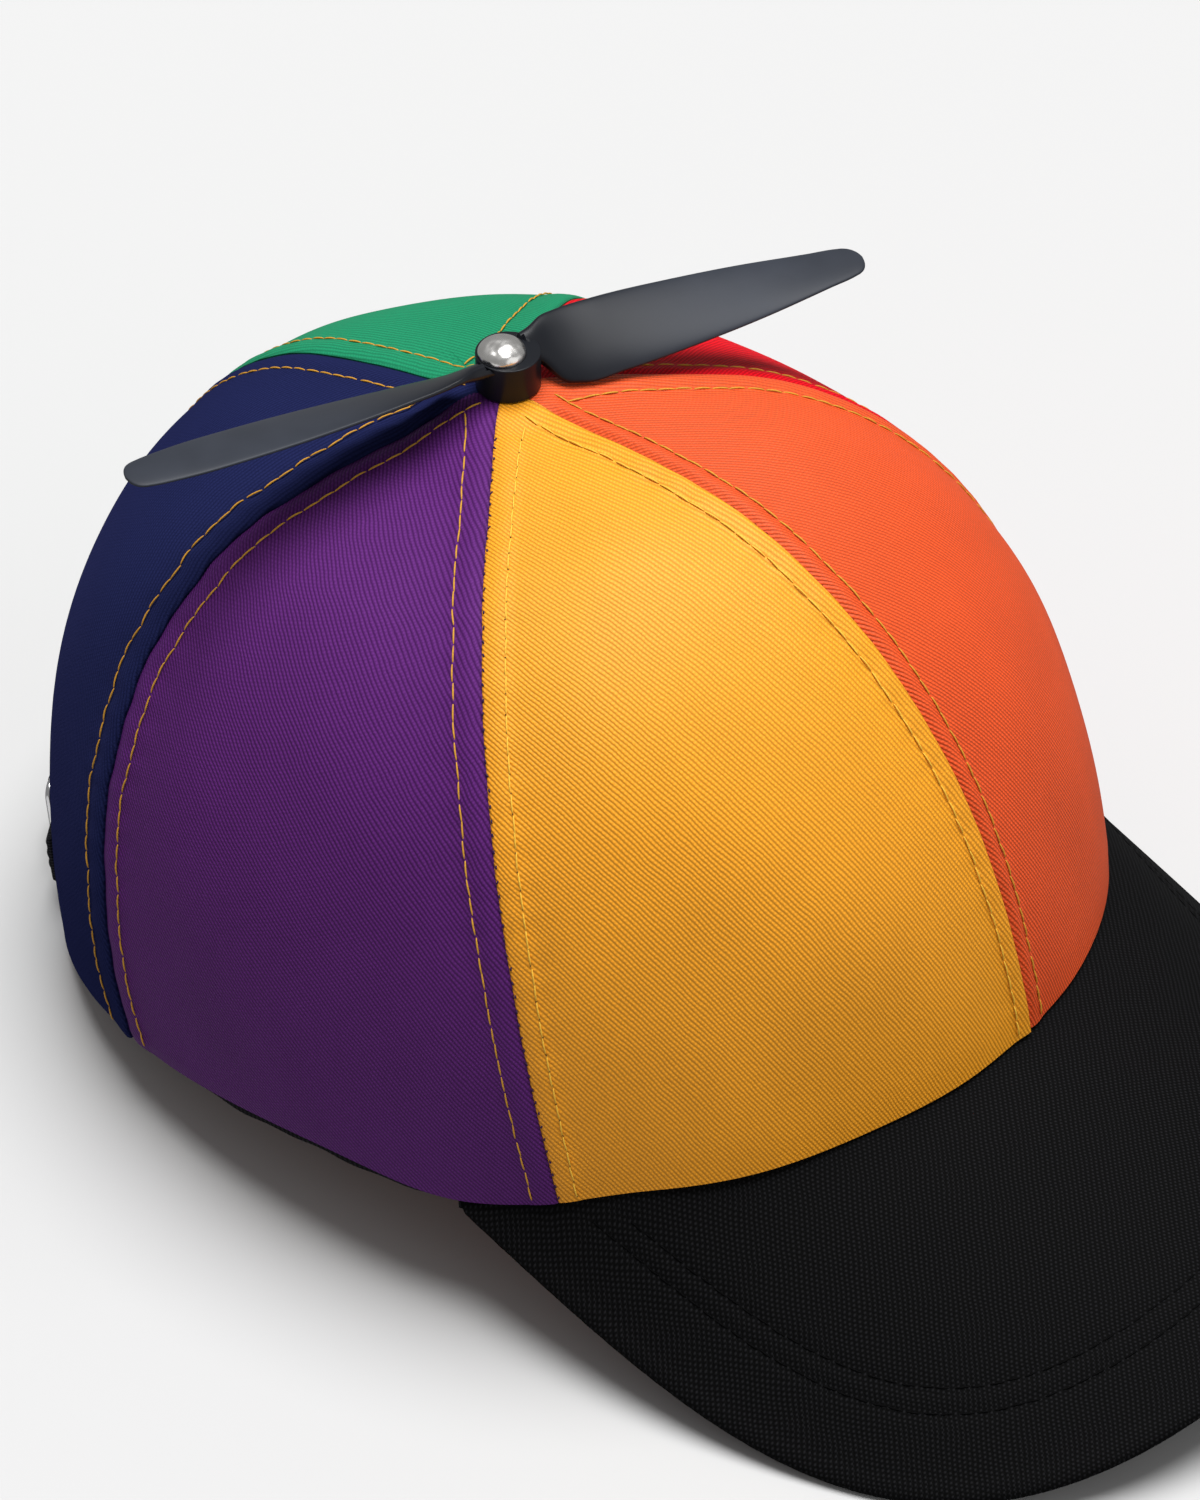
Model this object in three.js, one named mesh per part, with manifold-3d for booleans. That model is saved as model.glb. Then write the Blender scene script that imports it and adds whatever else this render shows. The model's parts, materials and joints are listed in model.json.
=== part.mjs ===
// Propeller cap: a six-panel cloth crown with a stiff arched peak, a sweatband, a buckled back
// strap, and a two-bladed propeller that spins on a rivet at the top of the crown.
// Millimetres, +Z up, the peak towards -Y and the wearer's left towards +X. The cap rests on z = 0
// as it does on a table: on the peak's two low corners and on the soft hem at the back, nose up.

import * as THREE from 'three';
import { mergeVertices } from 'three/addons/utils/BufferGeometryUtils.js';
import Module from 'manifold-3d';

const { degToRad, lerp, smoothstep } = THREE.MathUtils;

// Cloth and clearances
const CLOTH = 1.5;
const GAP = 0.3;

// Crown: girth at the hem, height from hem to apex, and how far the apex sits behind the middle
const HEAD_GIRTH = 590;
const CROWN_HEIGHT = 103.1;
const APEX_SETBACK = 4.8;
const HEM_TUCK = 0.006;
const REST_PITCH = degToRad(11.03);
const PANEL_ROWS = 18;
const PANEL_COLUMNS = 9;
const MERIDIAN_SAMPLES = 80;
const TIP_CROWDING = 1.35;

// How the crown varies around the head, as a mean and three cosine waves with 0 at the front:
// radius as a share of the mean, squareness of the wall in plan, fullness of the dome, hem height
const CROWN_WAVES = {
  radius: { mean: 1, one: -0.096, two: 0.099, three: -0.018 },
  wall: { mean: 2.65, one: -0.457, two: 0.341, three: 0 },
  dome: { mean: 2.296, one: 0.547, two: -0.223, three: 0 },
  hem: { mean: 0, one: 0, two: -0.52, three: 0.57 },
};

// Local dips of the hem: where the peak's ends pull it down, and where the soft back settles
const HEM_DIPS = [
  { name: 'peak end, left', angle: degToRad(68), depth: 4.2, spread: degToRad(14) },
  { name: 'peak end, right', angle: degToRad(-68), depth: 4.2, spread: degToRad(14) },
  { name: 'back', angle: degToRad(180), depth: 5.8, spread: degToRad(36) },
  { name: 'back corner, left', angle: degToRad(153), depth: 3.7, spread: degToRad(11) },
  { name: 'back corner, right', angle: degToRad(-155), depth: 3.4, spread: degToRad(11) },
];

// Seams from the rivet to the hem: angle from the front, positive to the wearer's left, and how
// far the seam leans round by the time it reaches the hem
const SEAMS = {
  front: { angle: degToRad(0.2), lean: degToRad(1.2) },
  left_front: { angle: degToRad(55.9), lean: 0 },
  left_back: { angle: degToRad(118.9), lean: 0 },
  back: { angle: degToRad(178.8), lean: 0 },
  right_back: { angle: degToRad(-122.6), lean: 0 },
  right_front: { angle: degToRad(-57.5), lean: 0 },
};

const PANELS = [
  { name: 'panel_front_left', from: 'front', to: 'left_front', colour: 0xf26522 },
  { name: 'panel_side_left', from: 'left_front', to: 'left_back', colour: 0xc41e2e },
  { name: 'panel_back_left', from: 'left_back', to: 'back', colour: 0x1f8a52 },
  { name: 'panel_back_right', from: 'back', to: 'right_back', colour: 0x22265c },
  { name: 'panel_side_right', from: 'right_back', to: 'right_front', colour: 0x5b2a86 },
  { name: 'panel_front_right', from: 'right_front', to: 'front', colour: 0xf5ab2a },
];

// Back opening: a rounded arch cut up from the hem about the back seam
const OPENING_WIDTH = 92;
const OPENING_HEIGHT = 46;
const OPENING_ROUNDNESS = 2.3;
const OPENING_COLUMNS = 8;
const OPENING_SIDE_COLUMNS = 7;

// Sweatband: a strip inside the hem, open across the back
const SWEATBAND_HEIGHT = 30;
const SWEATBAND_DROP = 1.3;
const SWEATBAND_THICK = 1.2;
const SWEATBAND_GAP = 0.6;
const SWEATBAND_COLUMNS = 58;
const SWEATBAND_ROWS = 4;

// Peak: half width, reach in front of its ends, slope along the nose, drop of the arch at the sides
const PEAK_END = degToRad(71.6);
const PEAK_HALF_WIDTH = 79.8;
const PEAK_REACH = 128.5;
const PEAK_SLOPE = 0.375;
const PEAK_ARCH = 40.7;
const PEAK_SIDE_POWER = 2.18;
const PEAK_NOSE_POWER = 3.61;
const PEAK_THICK = 2.8;
const PEAK_EDGE_ROUND = 0.5;
const PEAK_TUCK = 1.2;
const PEAK_SPAN = 0.975;
const PEAK_CROWDING = 1.8;
const PEAK_FAN = 0.75;
const PEAK_SEATED_SHARE = 0.4;
const PEAK_ROUNDED_ROWS = 1.5;
const PEAK_COLUMNS = 36;
const PEAK_ROWS = 8;

// Strap across the back opening, measured up the wall from the hem and round from the back seam
const STRAP_FOOT = 7.2;
const STRAP_WIDTH = 10;
const STRAP_THICK = 1.4;
const STRAP_OVERLAP = 12;
const STRAP_ROWS = 3;
const STRAP_STEP = 6;

// Slide buckle on the strap: a flat frame with a centre bar that the strap rides over
const BUCKLE_PLACE = -36;
const BUCKLE_LENGTH = 18;
const BUCKLE_HEIGHT = 16;
const BUCKLE_BAR = 2;
const BUCKLE_THICK = 1.3;
const BUCKLE_CORNER = 2;
const BUCKLE_CORNER_STEPS = 4;
const BUCKLE_STEP = 0.9;

// Rivet: the pin stands a little to the left of and behind the seams' own meeting point, and the
// cloth is drawn to it and pressed level around it
const PIN_SIDE = 0.36;
const PIN_BACK = 1.55;
const PIN_RADIUS = 1.8;
const PIN_HOLE = 3.2;
const PIN_DRAW_SPREAD = 24;
const SEAT_RISE = 2.6;
const SEAT_RADIUS = 5;
const SEAT_EDGE = 25;
const SEAT_SKEW = 9;
const RIVET_HEAD_RADIUS = 4.2;
const RIVET_RIM = 0.7;
const RIVET_DOME = 2.3;
const RIVET_DOME_STEPS = 6;
const RIVET_FLANGE_RADIUS = 6;
const RIVET_FLANGE_THICK = 1;
const ROUND_SIDES = 28;

// Propeller: hub, bore, counterbore under the rivet's head, and the play that sets it off its pin
const HUB_RADIUS = 5.7;
const HUB_HEIGHT = 6.9;
const HUB_PLAY = 1.2;
const HUB_EDGE = 0.5;
const BORE_RADIUS = 2.3;
const COUNTERBORE_RADIUS = 4.6;
const COUNTERBORE_DEPTH = 0.7;
const BLADE_REACH = 70;
const BLADE_TURN = degToRad(-25);
const BLADE_LIFT = 0.8;
const BLADE_CAMBER = 0.06;
const BLADE_SIDES = 14;

// Blade sections from hub to tip: place as a share of the reach, chord, pitch and thickness
const BLADE_SECTIONS = [
  { place: 0.03, chord: 6.5, pitch: 41, thick: 3.4 },
  { place: 0.1, chord: 11.4, pitch: 38, thick: 2.8 },
  { place: 0.18, chord: 14, pitch: 33.5, thick: 2.3 },
  { place: 0.3, chord: 14.7, pitch: 28, thick: 2 },
  { place: 0.5, chord: 14, pitch: 20, thick: 1.7 },
  { place: 0.7, chord: 12.2, pitch: 12.5, thick: 1.5 },
  { place: 0.88, chord: 9.4, pitch: 4.5, thick: 1.3 },
  { place: 0.955, chord: 7.8, pitch: 3, thick: 1.2 },
  { place: 0.985, chord: 6, pitch: 2, thick: 1.1 },
  { place: 1, chord: 2.6, pitch: 2, thick: 0.8 },
];

const wasm = await Module();
wasm.setup();

// Even shares from 0 to 1
function range(count) {
  return Array.from({ length: count + 1 }, (_, index) => index / count);
}

// Angle brought into the half-open turn around the front
function wrapped(angle) {
  return Math.atan2(Math.sin(angle), Math.cos(angle));
}

function wave(row, phi) {
  return row.mean + row.one * Math.cos(phi) + row.two * Math.cos(2 * phi) + row.three * Math.cos(3 * phi);
}

function hemHeight(phi) {
  let height = wave(CROWN_WAVES.hem, phi);
  for (const dip of HEM_DIPS) {
    height -= dip.depth * Math.exp(-((wrapped(phi - dip.angle) / dip.spread) ** 2));
  }
  return height;
}

function hemRadius(phi) {
  return (HEAD_GIRTH / (2 * Math.PI)) * wave(CROWN_WAVES.radius, phi);
}

// Cap standing nose up on the table
function pitched(point) {
  return point.applyAxisAngle(new THREE.Vector3(1, 0, 0), -REST_PITCH);
}

// Unpressed crown: a superellipse from hem (u = 0) to apex (u = 1) in each direction
function openCrownPoint(phi, u) {
  const turn = (u * Math.PI) / 2;
  const lift = Math.sin(turn) ** (2 / wave(CROWN_WAVES.dome, phi));
  const tuck = 1 - HEM_TUCK * (1 - lift) ** 4;
  const reach = hemRadius(phi) * tuck * Math.max(Math.cos(turn), 0) ** (2 / wave(CROWN_WAVES.wall, phi));
  const height = CROWN_HEIGHT * lift + hemHeight(phi) * (1 - lift);
  return pitched(new THREE.Vector3(reach * Math.sin(phi), APEX_SETBACK * lift - reach * Math.cos(phi), height));
}

const APEX = openCrownPoint(0, 1);
const PIN = new THREE.Vector3(APEX.x + PIN_SIDE, APEX.y + PIN_BACK, APEX.z + SEAT_RISE);

// Outer face of the crown, with the cloth drawn to the pin and pressed level round it, further out
// in front of the pin than behind it
function crownPoint(phi, u) {
  const point = openCrownPoint(phi, u);
  const away = Math.hypot(point.x - APEX.x, point.y - APEX.y);
  const draw = Math.exp(-((away / PIN_DRAW_SPREAD) ** 2));
  const edge = SEAT_EDGE + (SEAT_SKEW * (APEX.y - point.y)) / Math.max(away, SEAT_RADIUS);
  const press = 1 - smoothstep(away, SEAT_RADIUS, edge);
  point.x += PIN_SIDE * draw;
  point.y += PIN_BACK * draw;
  point.z = lerp(point.z, PIN.z, press);
  return point;
}

// Outward direction of the crown's outer face
function crownNormal(phi, u) {
  const step = 1e-3;
  const low = Math.max(u - step, 0);
  const high = Math.min(u + step, 1);
  const along = crownPoint(phi + step, u).sub(crownPoint(phi - step, u));
  const up = crownPoint(phi, high).sub(crownPoint(phi, low));
  return along.cross(up).normalize();
}

// Place up the wall (u) that lies a given height above the hem
function wallPlace(phi, height) {
  const lift = Math.max(height, 0) / (CROWN_HEIGHT - hemHeight(phi));
  return (2 / Math.PI) * Math.asin(lift ** (wave(CROWN_WAVES.dome, phi) / 2));
}

// Place up the crown (u) that lies a given distance from the pin
function tipPlace(phi, distance) {
  const share = distance / hemRadius(phi);
  return (2 / Math.PI) * Math.acos(share ** (wave(CROWN_WAVES.wall, phi) / 2));
}

// Places up the crown (u) from a start to a finish, measured along the cloth, closer near the tip
function clothPlaces(phi, start, finish, count) {
  const samples = range(MERIDIAN_SAMPLES).map((share) => lerp(start, finish, share));
  const lengths = [0];
  for (let i = 1; i < samples.length; i += 1) {
    lengths.push(lengths[i - 1] + crownPoint(phi, samples[i]).distanceTo(crownPoint(phi, samples[i - 1])));
  }
  return range(count).map((share) => {
    const wanted = (1 - (1 - share) ** TIP_CROWDING) * lengths[MERIDIAN_SAMPLES];
    const next = Math.min(Math.max(lengths.findIndex((length) => length >= wanted), 1), MERIDIAN_SAMPLES);
    const part = (wanted - lengths[next - 1]) / (lengths[next] - lengths[next - 1]);
    return lerp(samples[next - 1], samples[next], part);
  });
}

// Point at a height above the hem, set off outwards from the crown's outer face
function wallPoint(phi, height, offset) {
  const u = wallPlace(phi, height);
  const point = crownPoint(phi, u).addScaledVector(crownNormal(phi, u), offset);
  point.z += Math.min(height, 0);
  return point;
}

// Closed geometry from vertices and triangles, with its faces pointing out
function closedGeometry(points, triangles) {
  const position = new Float32Array(points.flatMap((p) => [p.x, p.y, p.z]));
  let volume = 0;
  for (const [a, b, c] of triangles) {
    volume += points[a].dot(new THREE.Vector3().crossVectors(points[b], points[c]));
  }
  const outward = triangles.map(([a, b, c]) => (volume < 0 ? [a, c, b] : [a, b, c]));
  const geometry = new THREE.BufferGeometry();
  geometry.setAttribute('position', new THREE.BufferAttribute(position, 3));
  geometry.setIndex(outward.flat());
  geometry.computeVertexNormals();
  return geometry;
}

// Closed wall between an outer and an inner grid of points, each a list of equal rows
function wallGeometry(outer, inner) {
  const rows = outer.length;
  const columns = outer[0].length;
  const points = [...outer.flat(), ...inner.flat()];
  const triangles = [];
  const place = (side, row, column) => side * rows * columns + row * columns + column;
  const quad = (a, b, c, d) => triangles.push([a, b, c], [a, c, d]);
  for (let row = 0; row + 1 < rows; row += 1) {
    for (let column = 0; column + 1 < columns; column += 1) {
      const cell = (side) => [
        place(side, row, column), place(side, row, column + 1),
        place(side, row + 1, column + 1), place(side, row + 1, column),
      ];
      quad(...cell(0));
      quad(...cell(1).reverse());
    }
    const last = columns - 1;
    quad(place(0, row, 0), place(0, row + 1, 0), place(1, row + 1, 0), place(1, row, 0));
    quad(place(0, row, last), place(1, row, last), place(1, row + 1, last), place(0, row + 1, last));
  }
  for (let column = 0; column + 1 < columns; column += 1) {
    const last = rows - 1;
    quad(place(0, 0, column), place(1, 0, column), place(1, 0, column + 1), place(0, 0, column + 1));
    quad(place(0, last, column), place(0, last, column + 1), place(1, last, column + 1), place(1, last, column));
  }
  return closedGeometry(points, triangles);
}

// Closed solid through equal rings of points, with flat ends
function loftGeometry(rings) {
  const sides = rings[0].length;
  const points = rings.flat();
  const triangles = [];
  for (let ring = 0; ring + 1 < rings.length; ring += 1) {
    for (let side = 0; side < sides; side += 1) {
      const next = (side + 1) % sides;
      const a = ring * sides;
      const b = a + sides;
      triangles.push([a + side, a + next, b + next], [a + side, b + next, b + side]);
    }
  }
  const top = (rings.length - 1) * sides;
  for (let side = 1; side + 1 < sides; side += 1) {
    triangles.push([0, side + 1, side], [top, top + side, top + side + 1]);
  }
  return closedGeometry(points, triangles);
}

// Turned solid about +Z from a profile of [radius, height] pairs that starts and ends on the axis
function turnedGeometry(profile) {
  const outline = profile.map(([radius, height]) => new THREE.Vector2(radius, height));
  return new THREE.LatheGeometry(outline, ROUND_SIDES).rotateX(Math.PI / 2);
}

function toManifold(geometry) {
  const bare = geometry.clone();
  bare.deleteAttribute('normal');
  bare.deleteAttribute('uv');
  const merged = mergeVertices(bare, 1e-4);
  const corners = merged.index.array;
  const kept = [];
  for (let i = 0; i < corners.length; i += 3) {
    const [a, b, c] = corners.slice(i, i + 3);
    if (a !== b && b !== c && c !== a) {
      kept.push(a, b, c);
    }
  }
  return new wasm.Manifold(new wasm.Mesh({
    numProp: 3,
    vertProperties: new Float32Array(merged.attributes.position.array),
    triVerts: new Uint32Array(kept),
  }));
}

function fromManifold(solid) {
  const mesh = solid.getMesh();
  const geometry = new THREE.BufferGeometry();
  geometry.setAttribute('position', new THREE.BufferAttribute(new Float32Array(mesh.vertProperties), 3));
  geometry.setIndex(Array.from(mesh.triVerts));
  geometry.computeVertexNormals();
  return geometry;
}

function part(name, geometry, colour, roughness, metalness = 0) {
  const mesh = new THREE.Mesh(geometry, new THREE.MeshStandardMaterial({ color: colour, roughness, metalness }));
  mesh.name = name;
  return mesh;
}

// Peak: outer edge is a superellipse in plan, and its sheet slopes down along the nose and is arched
// from side to side. It starts under the crown's hem and its free edge is rounded.
function peakSheetHeight(x, y) {
  const brow = crownPoint(0, 0);
  return brow.z - GAP - PEAK_SLOPE * (brow.y - y) - PEAK_ARCH * (x / PEAK_HALF_WIDTH) ** 2;
}

function peakTopPoint(side, across) {
  const spread = Math.abs(side);
  const turn = (Math.PI / 2) * (1 - (1 - spread) ** PEAK_CROWDING);
  const phi = PEAK_END * Math.sign(side) * spread ** PEAK_FAN;
  const inner = wallPoint(phi, 0, -PEAK_TUCK);
  inner.z -= GAP;
  const ends = crownPoint(PEAK_END, 0).y;
  const x = PEAK_HALF_WIDTH * Math.sign(side) * Math.sin(turn) ** (2 / PEAK_SIDE_POWER);
  const y = ends - PEAK_REACH * Math.cos(turn) ** (2 / PEAK_NOSE_POWER);
  const point = new THREE.Vector3(lerp(inner.x, x, across), lerp(inner.y, y, across), 0);
  const fit = inner.z - peakSheetHeight(inner.x, inner.y);
  point.z = peakSheetHeight(point.x, point.y) + fit * (1 - across) ** 2;
  return point;
}

// Way through the peak's thickness: straight down under the hem, square to the sheet further out
function peakDown(side, across) {
  const step = 1e-3;
  const along = peakTopPoint(side + step, across).sub(peakTopPoint(side - step, across));
  const out = peakTopPoint(side, across + step).sub(peakTopPoint(side, across - step));
  const down = out.cross(along).normalize();
  down.multiplyScalar(-Math.sign(down.z));
  return down.lerp(new THREE.Vector3(0, 0, -1), 1 - smoothstep(across, 0, PEAK_SEATED_SHARE)).normalize();
}

function peakGeometry() {
  const sides = range(PEAK_COLUMNS).map((share) => lerp(-PEAK_SPAN, PEAK_SPAN, share));
  const sheet = (depth) => range(PEAK_ROWS).map((across) => sides.map((side) => {
    const round = smoothstep(across, 1 - PEAK_ROUNDED_ROWS / PEAK_ROWS, 1) * PEAK_EDGE_ROUND;
    const drop = lerp(round, PEAK_THICK - round, depth);
    return peakTopPoint(side, across).addScaledVector(peakDown(side, across), drop);
  }));
  return wallGeometry(sheet(0), sheet(1));
}

const peak = peakGeometry();
peak.computeBoundingBox();
const FLOOR = peak.boundingBox.min.z;

// Cloth that would sink into the table is flattened on it
function onTable(point) {
  point.z = Math.max(point.z, FLOOR);
  return point;
}

// Angle of a seam at a place up the crown, and the half gap that a panel keeps from it
function seamAngle(seam, u) {
  return seam.angle + seam.lean * (1 - u) ** 2;
}

function seamInset(phi, u) {
  const point = crownPoint(phi, u);
  return GAP / 2 / Math.hypot(point.x - PIN.x, point.y - PIN.y);
}

// Columns of a panel from one seam to the next: place as a share, and the foot's height at the hem
function plainColumns() {
  return range(PANEL_COLUMNS).map((share) => ({ share, foot: 0 }));
}

function archedColumns(width) {
  const corner = 1 - OPENING_WIDTH / 2 / width;
  const sides = range(OPENING_SIDE_COLUMNS).slice(0, -1).map((share) => ({ share: share * corner, foot: 0 }));
  const arch = range(OPENING_COLUMNS).map((step) => {
    const turn = (step * Math.PI) / 2;
    const across = Math.max(Math.cos(turn), 0) ** (2 / OPENING_ROUNDNESS);
    const up = Math.sin(turn) ** (2 / OPENING_ROUNDNESS);
    return { share: 1 - (1 - corner) * across, foot: OPENING_HEIGHT * up };
  });
  return [...sides, ...arch];
}

function panelColumns(panel, from, to) {
  const width = hemRadius(Math.PI) * (to - from);
  if (panel.to === 'back') {
    return archedColumns(width);
  }
  if (panel.from === 'back') {
    return archedColumns(width).map(({ share, foot }) => ({ share: 1 - share, foot })).reverse();
  }
  return plainColumns();
}

// Panel between two seams, each column running up the cloth from its foot to the hole for the pin
function panelGeometry(panel) {
  const from = SEAMS[panel.from];
  const to = SEAMS[panel.to];
  const turn = to.angle > from.angle ? 0 : 2 * Math.PI;
  const columns = panelColumns(panel, from.angle, to.angle + turn).map(({ share, foot }) => {
    const phi = lerp(from.angle, to.angle + turn, share);
    return { share, places: clothPlaces(phi, wallPlace(phi, foot), tipPlace(phi, PIN_HOLE), PANEL_ROWS) };
  });
  const face = (offset) => range(PANEL_ROWS).map((_, row) => columns.map(({ share, places }) => {
    const u = places[row];
    const start = seamAngle(from, u) + seamInset(from.angle, u);
    const finish = seamAngle(to, u) + turn - seamInset(to.angle, u);
    const phi = lerp(start, finish, share);
    return onTable(crownPoint(phi, u).addScaledVector(crownNormal(phi, u), offset));
  }));
  return wallGeometry(face(0), face(-CLOTH));
}

// Angle round the crown at a distance along the wall from the back seam, positive to the left
function backAngle(distance) {
  return SEAMS.back.angle - distance / hemRadius(Math.PI);
}

function sweatbandGeometry() {
  const start = backAngle(-OPENING_WIDTH / 2) - 2 * Math.PI;
  const finish = backAngle(OPENING_WIDTH / 2);
  const face = (offset) => range(SWEATBAND_ROWS).map((row) => range(SWEATBAND_COLUMNS).map((share) => {
    const height = lerp(-SWEATBAND_DROP, SWEATBAND_HEIGHT, row);
    return onTable(wallPoint(lerp(start, finish, share), height, offset));
  }));
  const outside = -CLOTH - SWEATBAND_GAP;
  return wallGeometry(face(outside), face(outside - SWEATBAND_THICK));
}

// The strap lies on the crown, passes behind the buckle's end bars and rides over its centre bar
function strapRise(distance) {
  const away = Math.abs(distance - BUCKLE_PLACE);
  const start = BUCKLE_BAR / 2 + GAP;
  const finish = BUCKLE_LENGTH / 2 - BUCKLE_BAR - GAP;
  return (STRAP_THICK + BUCKLE_THICK + 3 * GAP) * (1 - smoothstep(away, start, finish));
}

// Stations along the strap, close together at the buckle
function strapStations() {
  const half = OPENING_WIDTH / 2 + STRAP_OVERLAP;
  const near = BUCKLE_LENGTH / 2 + BUCKLE_STEP;
  const spans = [
    { start: -half, finish: BUCKLE_PLACE - near, step: STRAP_STEP },
    { start: BUCKLE_PLACE - near, finish: BUCKLE_PLACE + near, step: BUCKLE_STEP },
    { start: BUCKLE_PLACE + near, finish: half, step: STRAP_STEP },
  ];
  const stations = spans.flatMap(({ start, finish, step }) => {
    const shares = range(Math.ceil((finish - start) / step)).slice(0, -1);
    return shares.map((share) => lerp(start, finish, share));
  });
  return [...stations, half];
}

function strapGeometry() {
  const stations = strapStations();
  const face = (offset) => range(STRAP_ROWS).map((row) => stations.map((distance) => {
    const height = STRAP_FOOT + STRAP_WIDTH * row;
    return onTable(wallPoint(backAngle(distance), height, GAP + offset + strapRise(distance)));
  }));
  return wallGeometry(face(STRAP_THICK), face(0));
}

// Outline of a rectangle with rounded corners, each corner a quarter turn in equal steps
function roundedRectangle(width, height, corner) {
  const points = [];
  for (let quarter = 0; quarter < 4; quarter += 1) {
    const start = (quarter * Math.PI) / 2;
    const side = Math.sign(Math.cos(start + Math.PI / 4));
    const end = Math.sign(Math.sin(start + Math.PI / 4));
    for (const share of range(BUCKLE_CORNER_STEPS)) {
      const turn = start + (share * Math.PI) / 2;
      const x = side * (width / 2 - corner) + corner * Math.cos(turn);
      const y = end * (height / 2 - corner) + corner * Math.sin(turn);
      points.push(new THREE.Vector2(x, y));
    }
  }
  return new THREE.Shape(points);
}

// Buckle: a rounded plate cut by two windows, standing on the strap with its face along the wall
function buckle() {
  const outline = roundedRectangle(BUCKLE_LENGTH, BUCKLE_HEIGHT, BUCKLE_CORNER);
  const plate = new THREE.ExtrudeGeometry(outline, { depth: BUCKLE_THICK, bevelEnabled: false });
  const windowWidth = (BUCKLE_LENGTH - 3 * BUCKLE_BAR) / 2;
  const windowHeight = BUCKLE_HEIGHT - 2 * BUCKLE_BAR;
  let frame = toManifold(plate);
  for (const side of [-1, 1]) {
    const hole = new THREE.BoxGeometry(windowWidth, windowHeight, 4 * BUCKLE_THICK);
    frame = frame.subtract(toManifold(hole.translate((side * (BUCKLE_BAR + windowWidth)) / 2, 0, 0)));
  }
  const geometry = fromManifold(frame);
  const mesh = part('strap_buckle', geometry, 0xc9cacc, 0.25, 1);
  const phi = backAngle(BUCKLE_PLACE);
  const middle = STRAP_FOOT + STRAP_WIDTH / 2;
  const out = crownNormal(phi, wallPlace(phi, middle));
  const up = wallPoint(phi, middle + 1, 0).sub(wallPoint(phi, middle - 1, 0)).normalize();
  const along = new THREE.Vector3().crossVectors(up, out);
  mesh.quaternion.setFromRotationMatrix(new THREE.Matrix4().makeBasis(along, up, out));
  mesh.position.copy(wallPoint(phi, middle, 2 * GAP + STRAP_THICK));
  return mesh;
}

// Rivet about its own axis, with z = 0 at the cloth it is seated on
function rivetGeometry() {
  const inside = -CLOTH - GAP;
  const head = GAP + HUB_HEIGHT - COUNTERBORE_DEPTH + GAP;
  const dome = range(RIVET_DOME_STEPS).map((share) => {
    const turn = (share * Math.PI) / 2;
    return [RIVET_HEAD_RADIUS * Math.cos(turn), head + RIVET_RIM + RIVET_DOME * Math.sin(turn)];
  });
  dome[dome.length - 1][0] = 0;
  return turnedGeometry([
    [0, inside - RIVET_FLANGE_THICK],
    [RIVET_FLANGE_RADIUS, inside - RIVET_FLANGE_THICK],
    [RIVET_FLANGE_RADIUS, inside],
    [PIN_RADIUS, inside],
    [PIN_RADIUS, head],
    [RIVET_HEAD_RADIUS, head],
    ...dome,
  ]);
}

// One blade along +X: cambered lens sections, pitched up towards +Y
function bladeGeometry(middle) {
  const rings = BLADE_SECTIONS.map(({ place, chord, pitch, thick }) => {
    const tilt = degToRad(pitch);
    return range(BLADE_SIDES).slice(0, -1).map((share) => {
      const turn = 2 * Math.PI * share;
      const across = (chord / 2) * Math.cos(turn);
      const deep = (thick / 2) * Math.sin(turn) + BLADE_CAMBER * chord * (Math.sin(turn) ** 2 - 0.5);
      return new THREE.Vector3(
        place * BLADE_REACH,
        across * Math.cos(tilt) - deep * Math.sin(tilt),
        middle + across * Math.sin(tilt) + deep * Math.cos(tilt),
      );
    });
  });
  return loftGeometry(rings);
}

// Propeller about its pin, with z = 0 at the cloth and its first blade along +X
function propellerGeometry() {
  const foot = GAP;
  const top = foot + HUB_HEIGHT;
  const hub = turnedGeometry([
    [0, foot], [HUB_RADIUS, foot], [HUB_RADIUS, top - HUB_EDGE], [HUB_RADIUS - HUB_EDGE, top], [0, top],
  ]).translate(HUB_PLAY, 0, 0);
  const bore = turnedGeometry([
    [0, foot - 1], [BORE_RADIUS, foot - 1], [BORE_RADIUS, top - COUNTERBORE_DEPTH],
    [COUNTERBORE_RADIUS, top - COUNTERBORE_DEPTH], [COUNTERBORE_RADIUS, top + 1], [0, top + 1],
  ]);
  const blade = bladeGeometry(foot + HUB_HEIGHT / 2 + BLADE_LIFT);
  const opposite = blade.clone().rotateZ(Math.PI);
  const solid = toManifold(hub).add(toManifold(blade)).add(toManifold(opposite));
  return fromManifold(solid.subtract(toManifold(bore)));
}

const cap = new THREE.Group();
for (const panel of PANELS) {
  cap.add(part(panel.name, panelGeometry(panel), panel.colour, 0.9));
}
cap.add(part('peak', peak, 0x111113, 0.9));
cap.add(part('sweatband', sweatbandGeometry(), 0x141416, 0.9));
cap.add(part('back_strap', strapGeometry(), 0x131315, 0.85));
cap.add(buckle());

const rivet = part('rivet', rivetGeometry(), 0xd0d2d4, 0.15, 1);
rivet.position.copy(PIN);
cap.add(rivet);

const propeller = part('propeller', propellerGeometry(), 0x1c1f24, 0.35);
propeller.position.copy(PIN);
propeller.rotation.z = BLADE_TURN;
cap.add(propeller);

// Origin on the table under the middle of the cap
const bounds = new THREE.Box3().setFromObject(cap, true);
const middle = bounds.getCenter(new THREE.Vector3());
cap.position.set(-middle.x, -middle.y, -bounds.min.z);

const propellerCap = new THREE.Group();
propellerCap.add(cap);

export default propellerCap;
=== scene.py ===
"""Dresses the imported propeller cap: sewn twill panels, woven peak, sweatband, strap, rivet and blades.

The crown, the peak and the blades repeat the shapes of the solids, in millimetres, as functions of two
parameters on numpy grids, and add the seams, stitches and cloth relief that the solids leave plain.
"""

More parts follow.
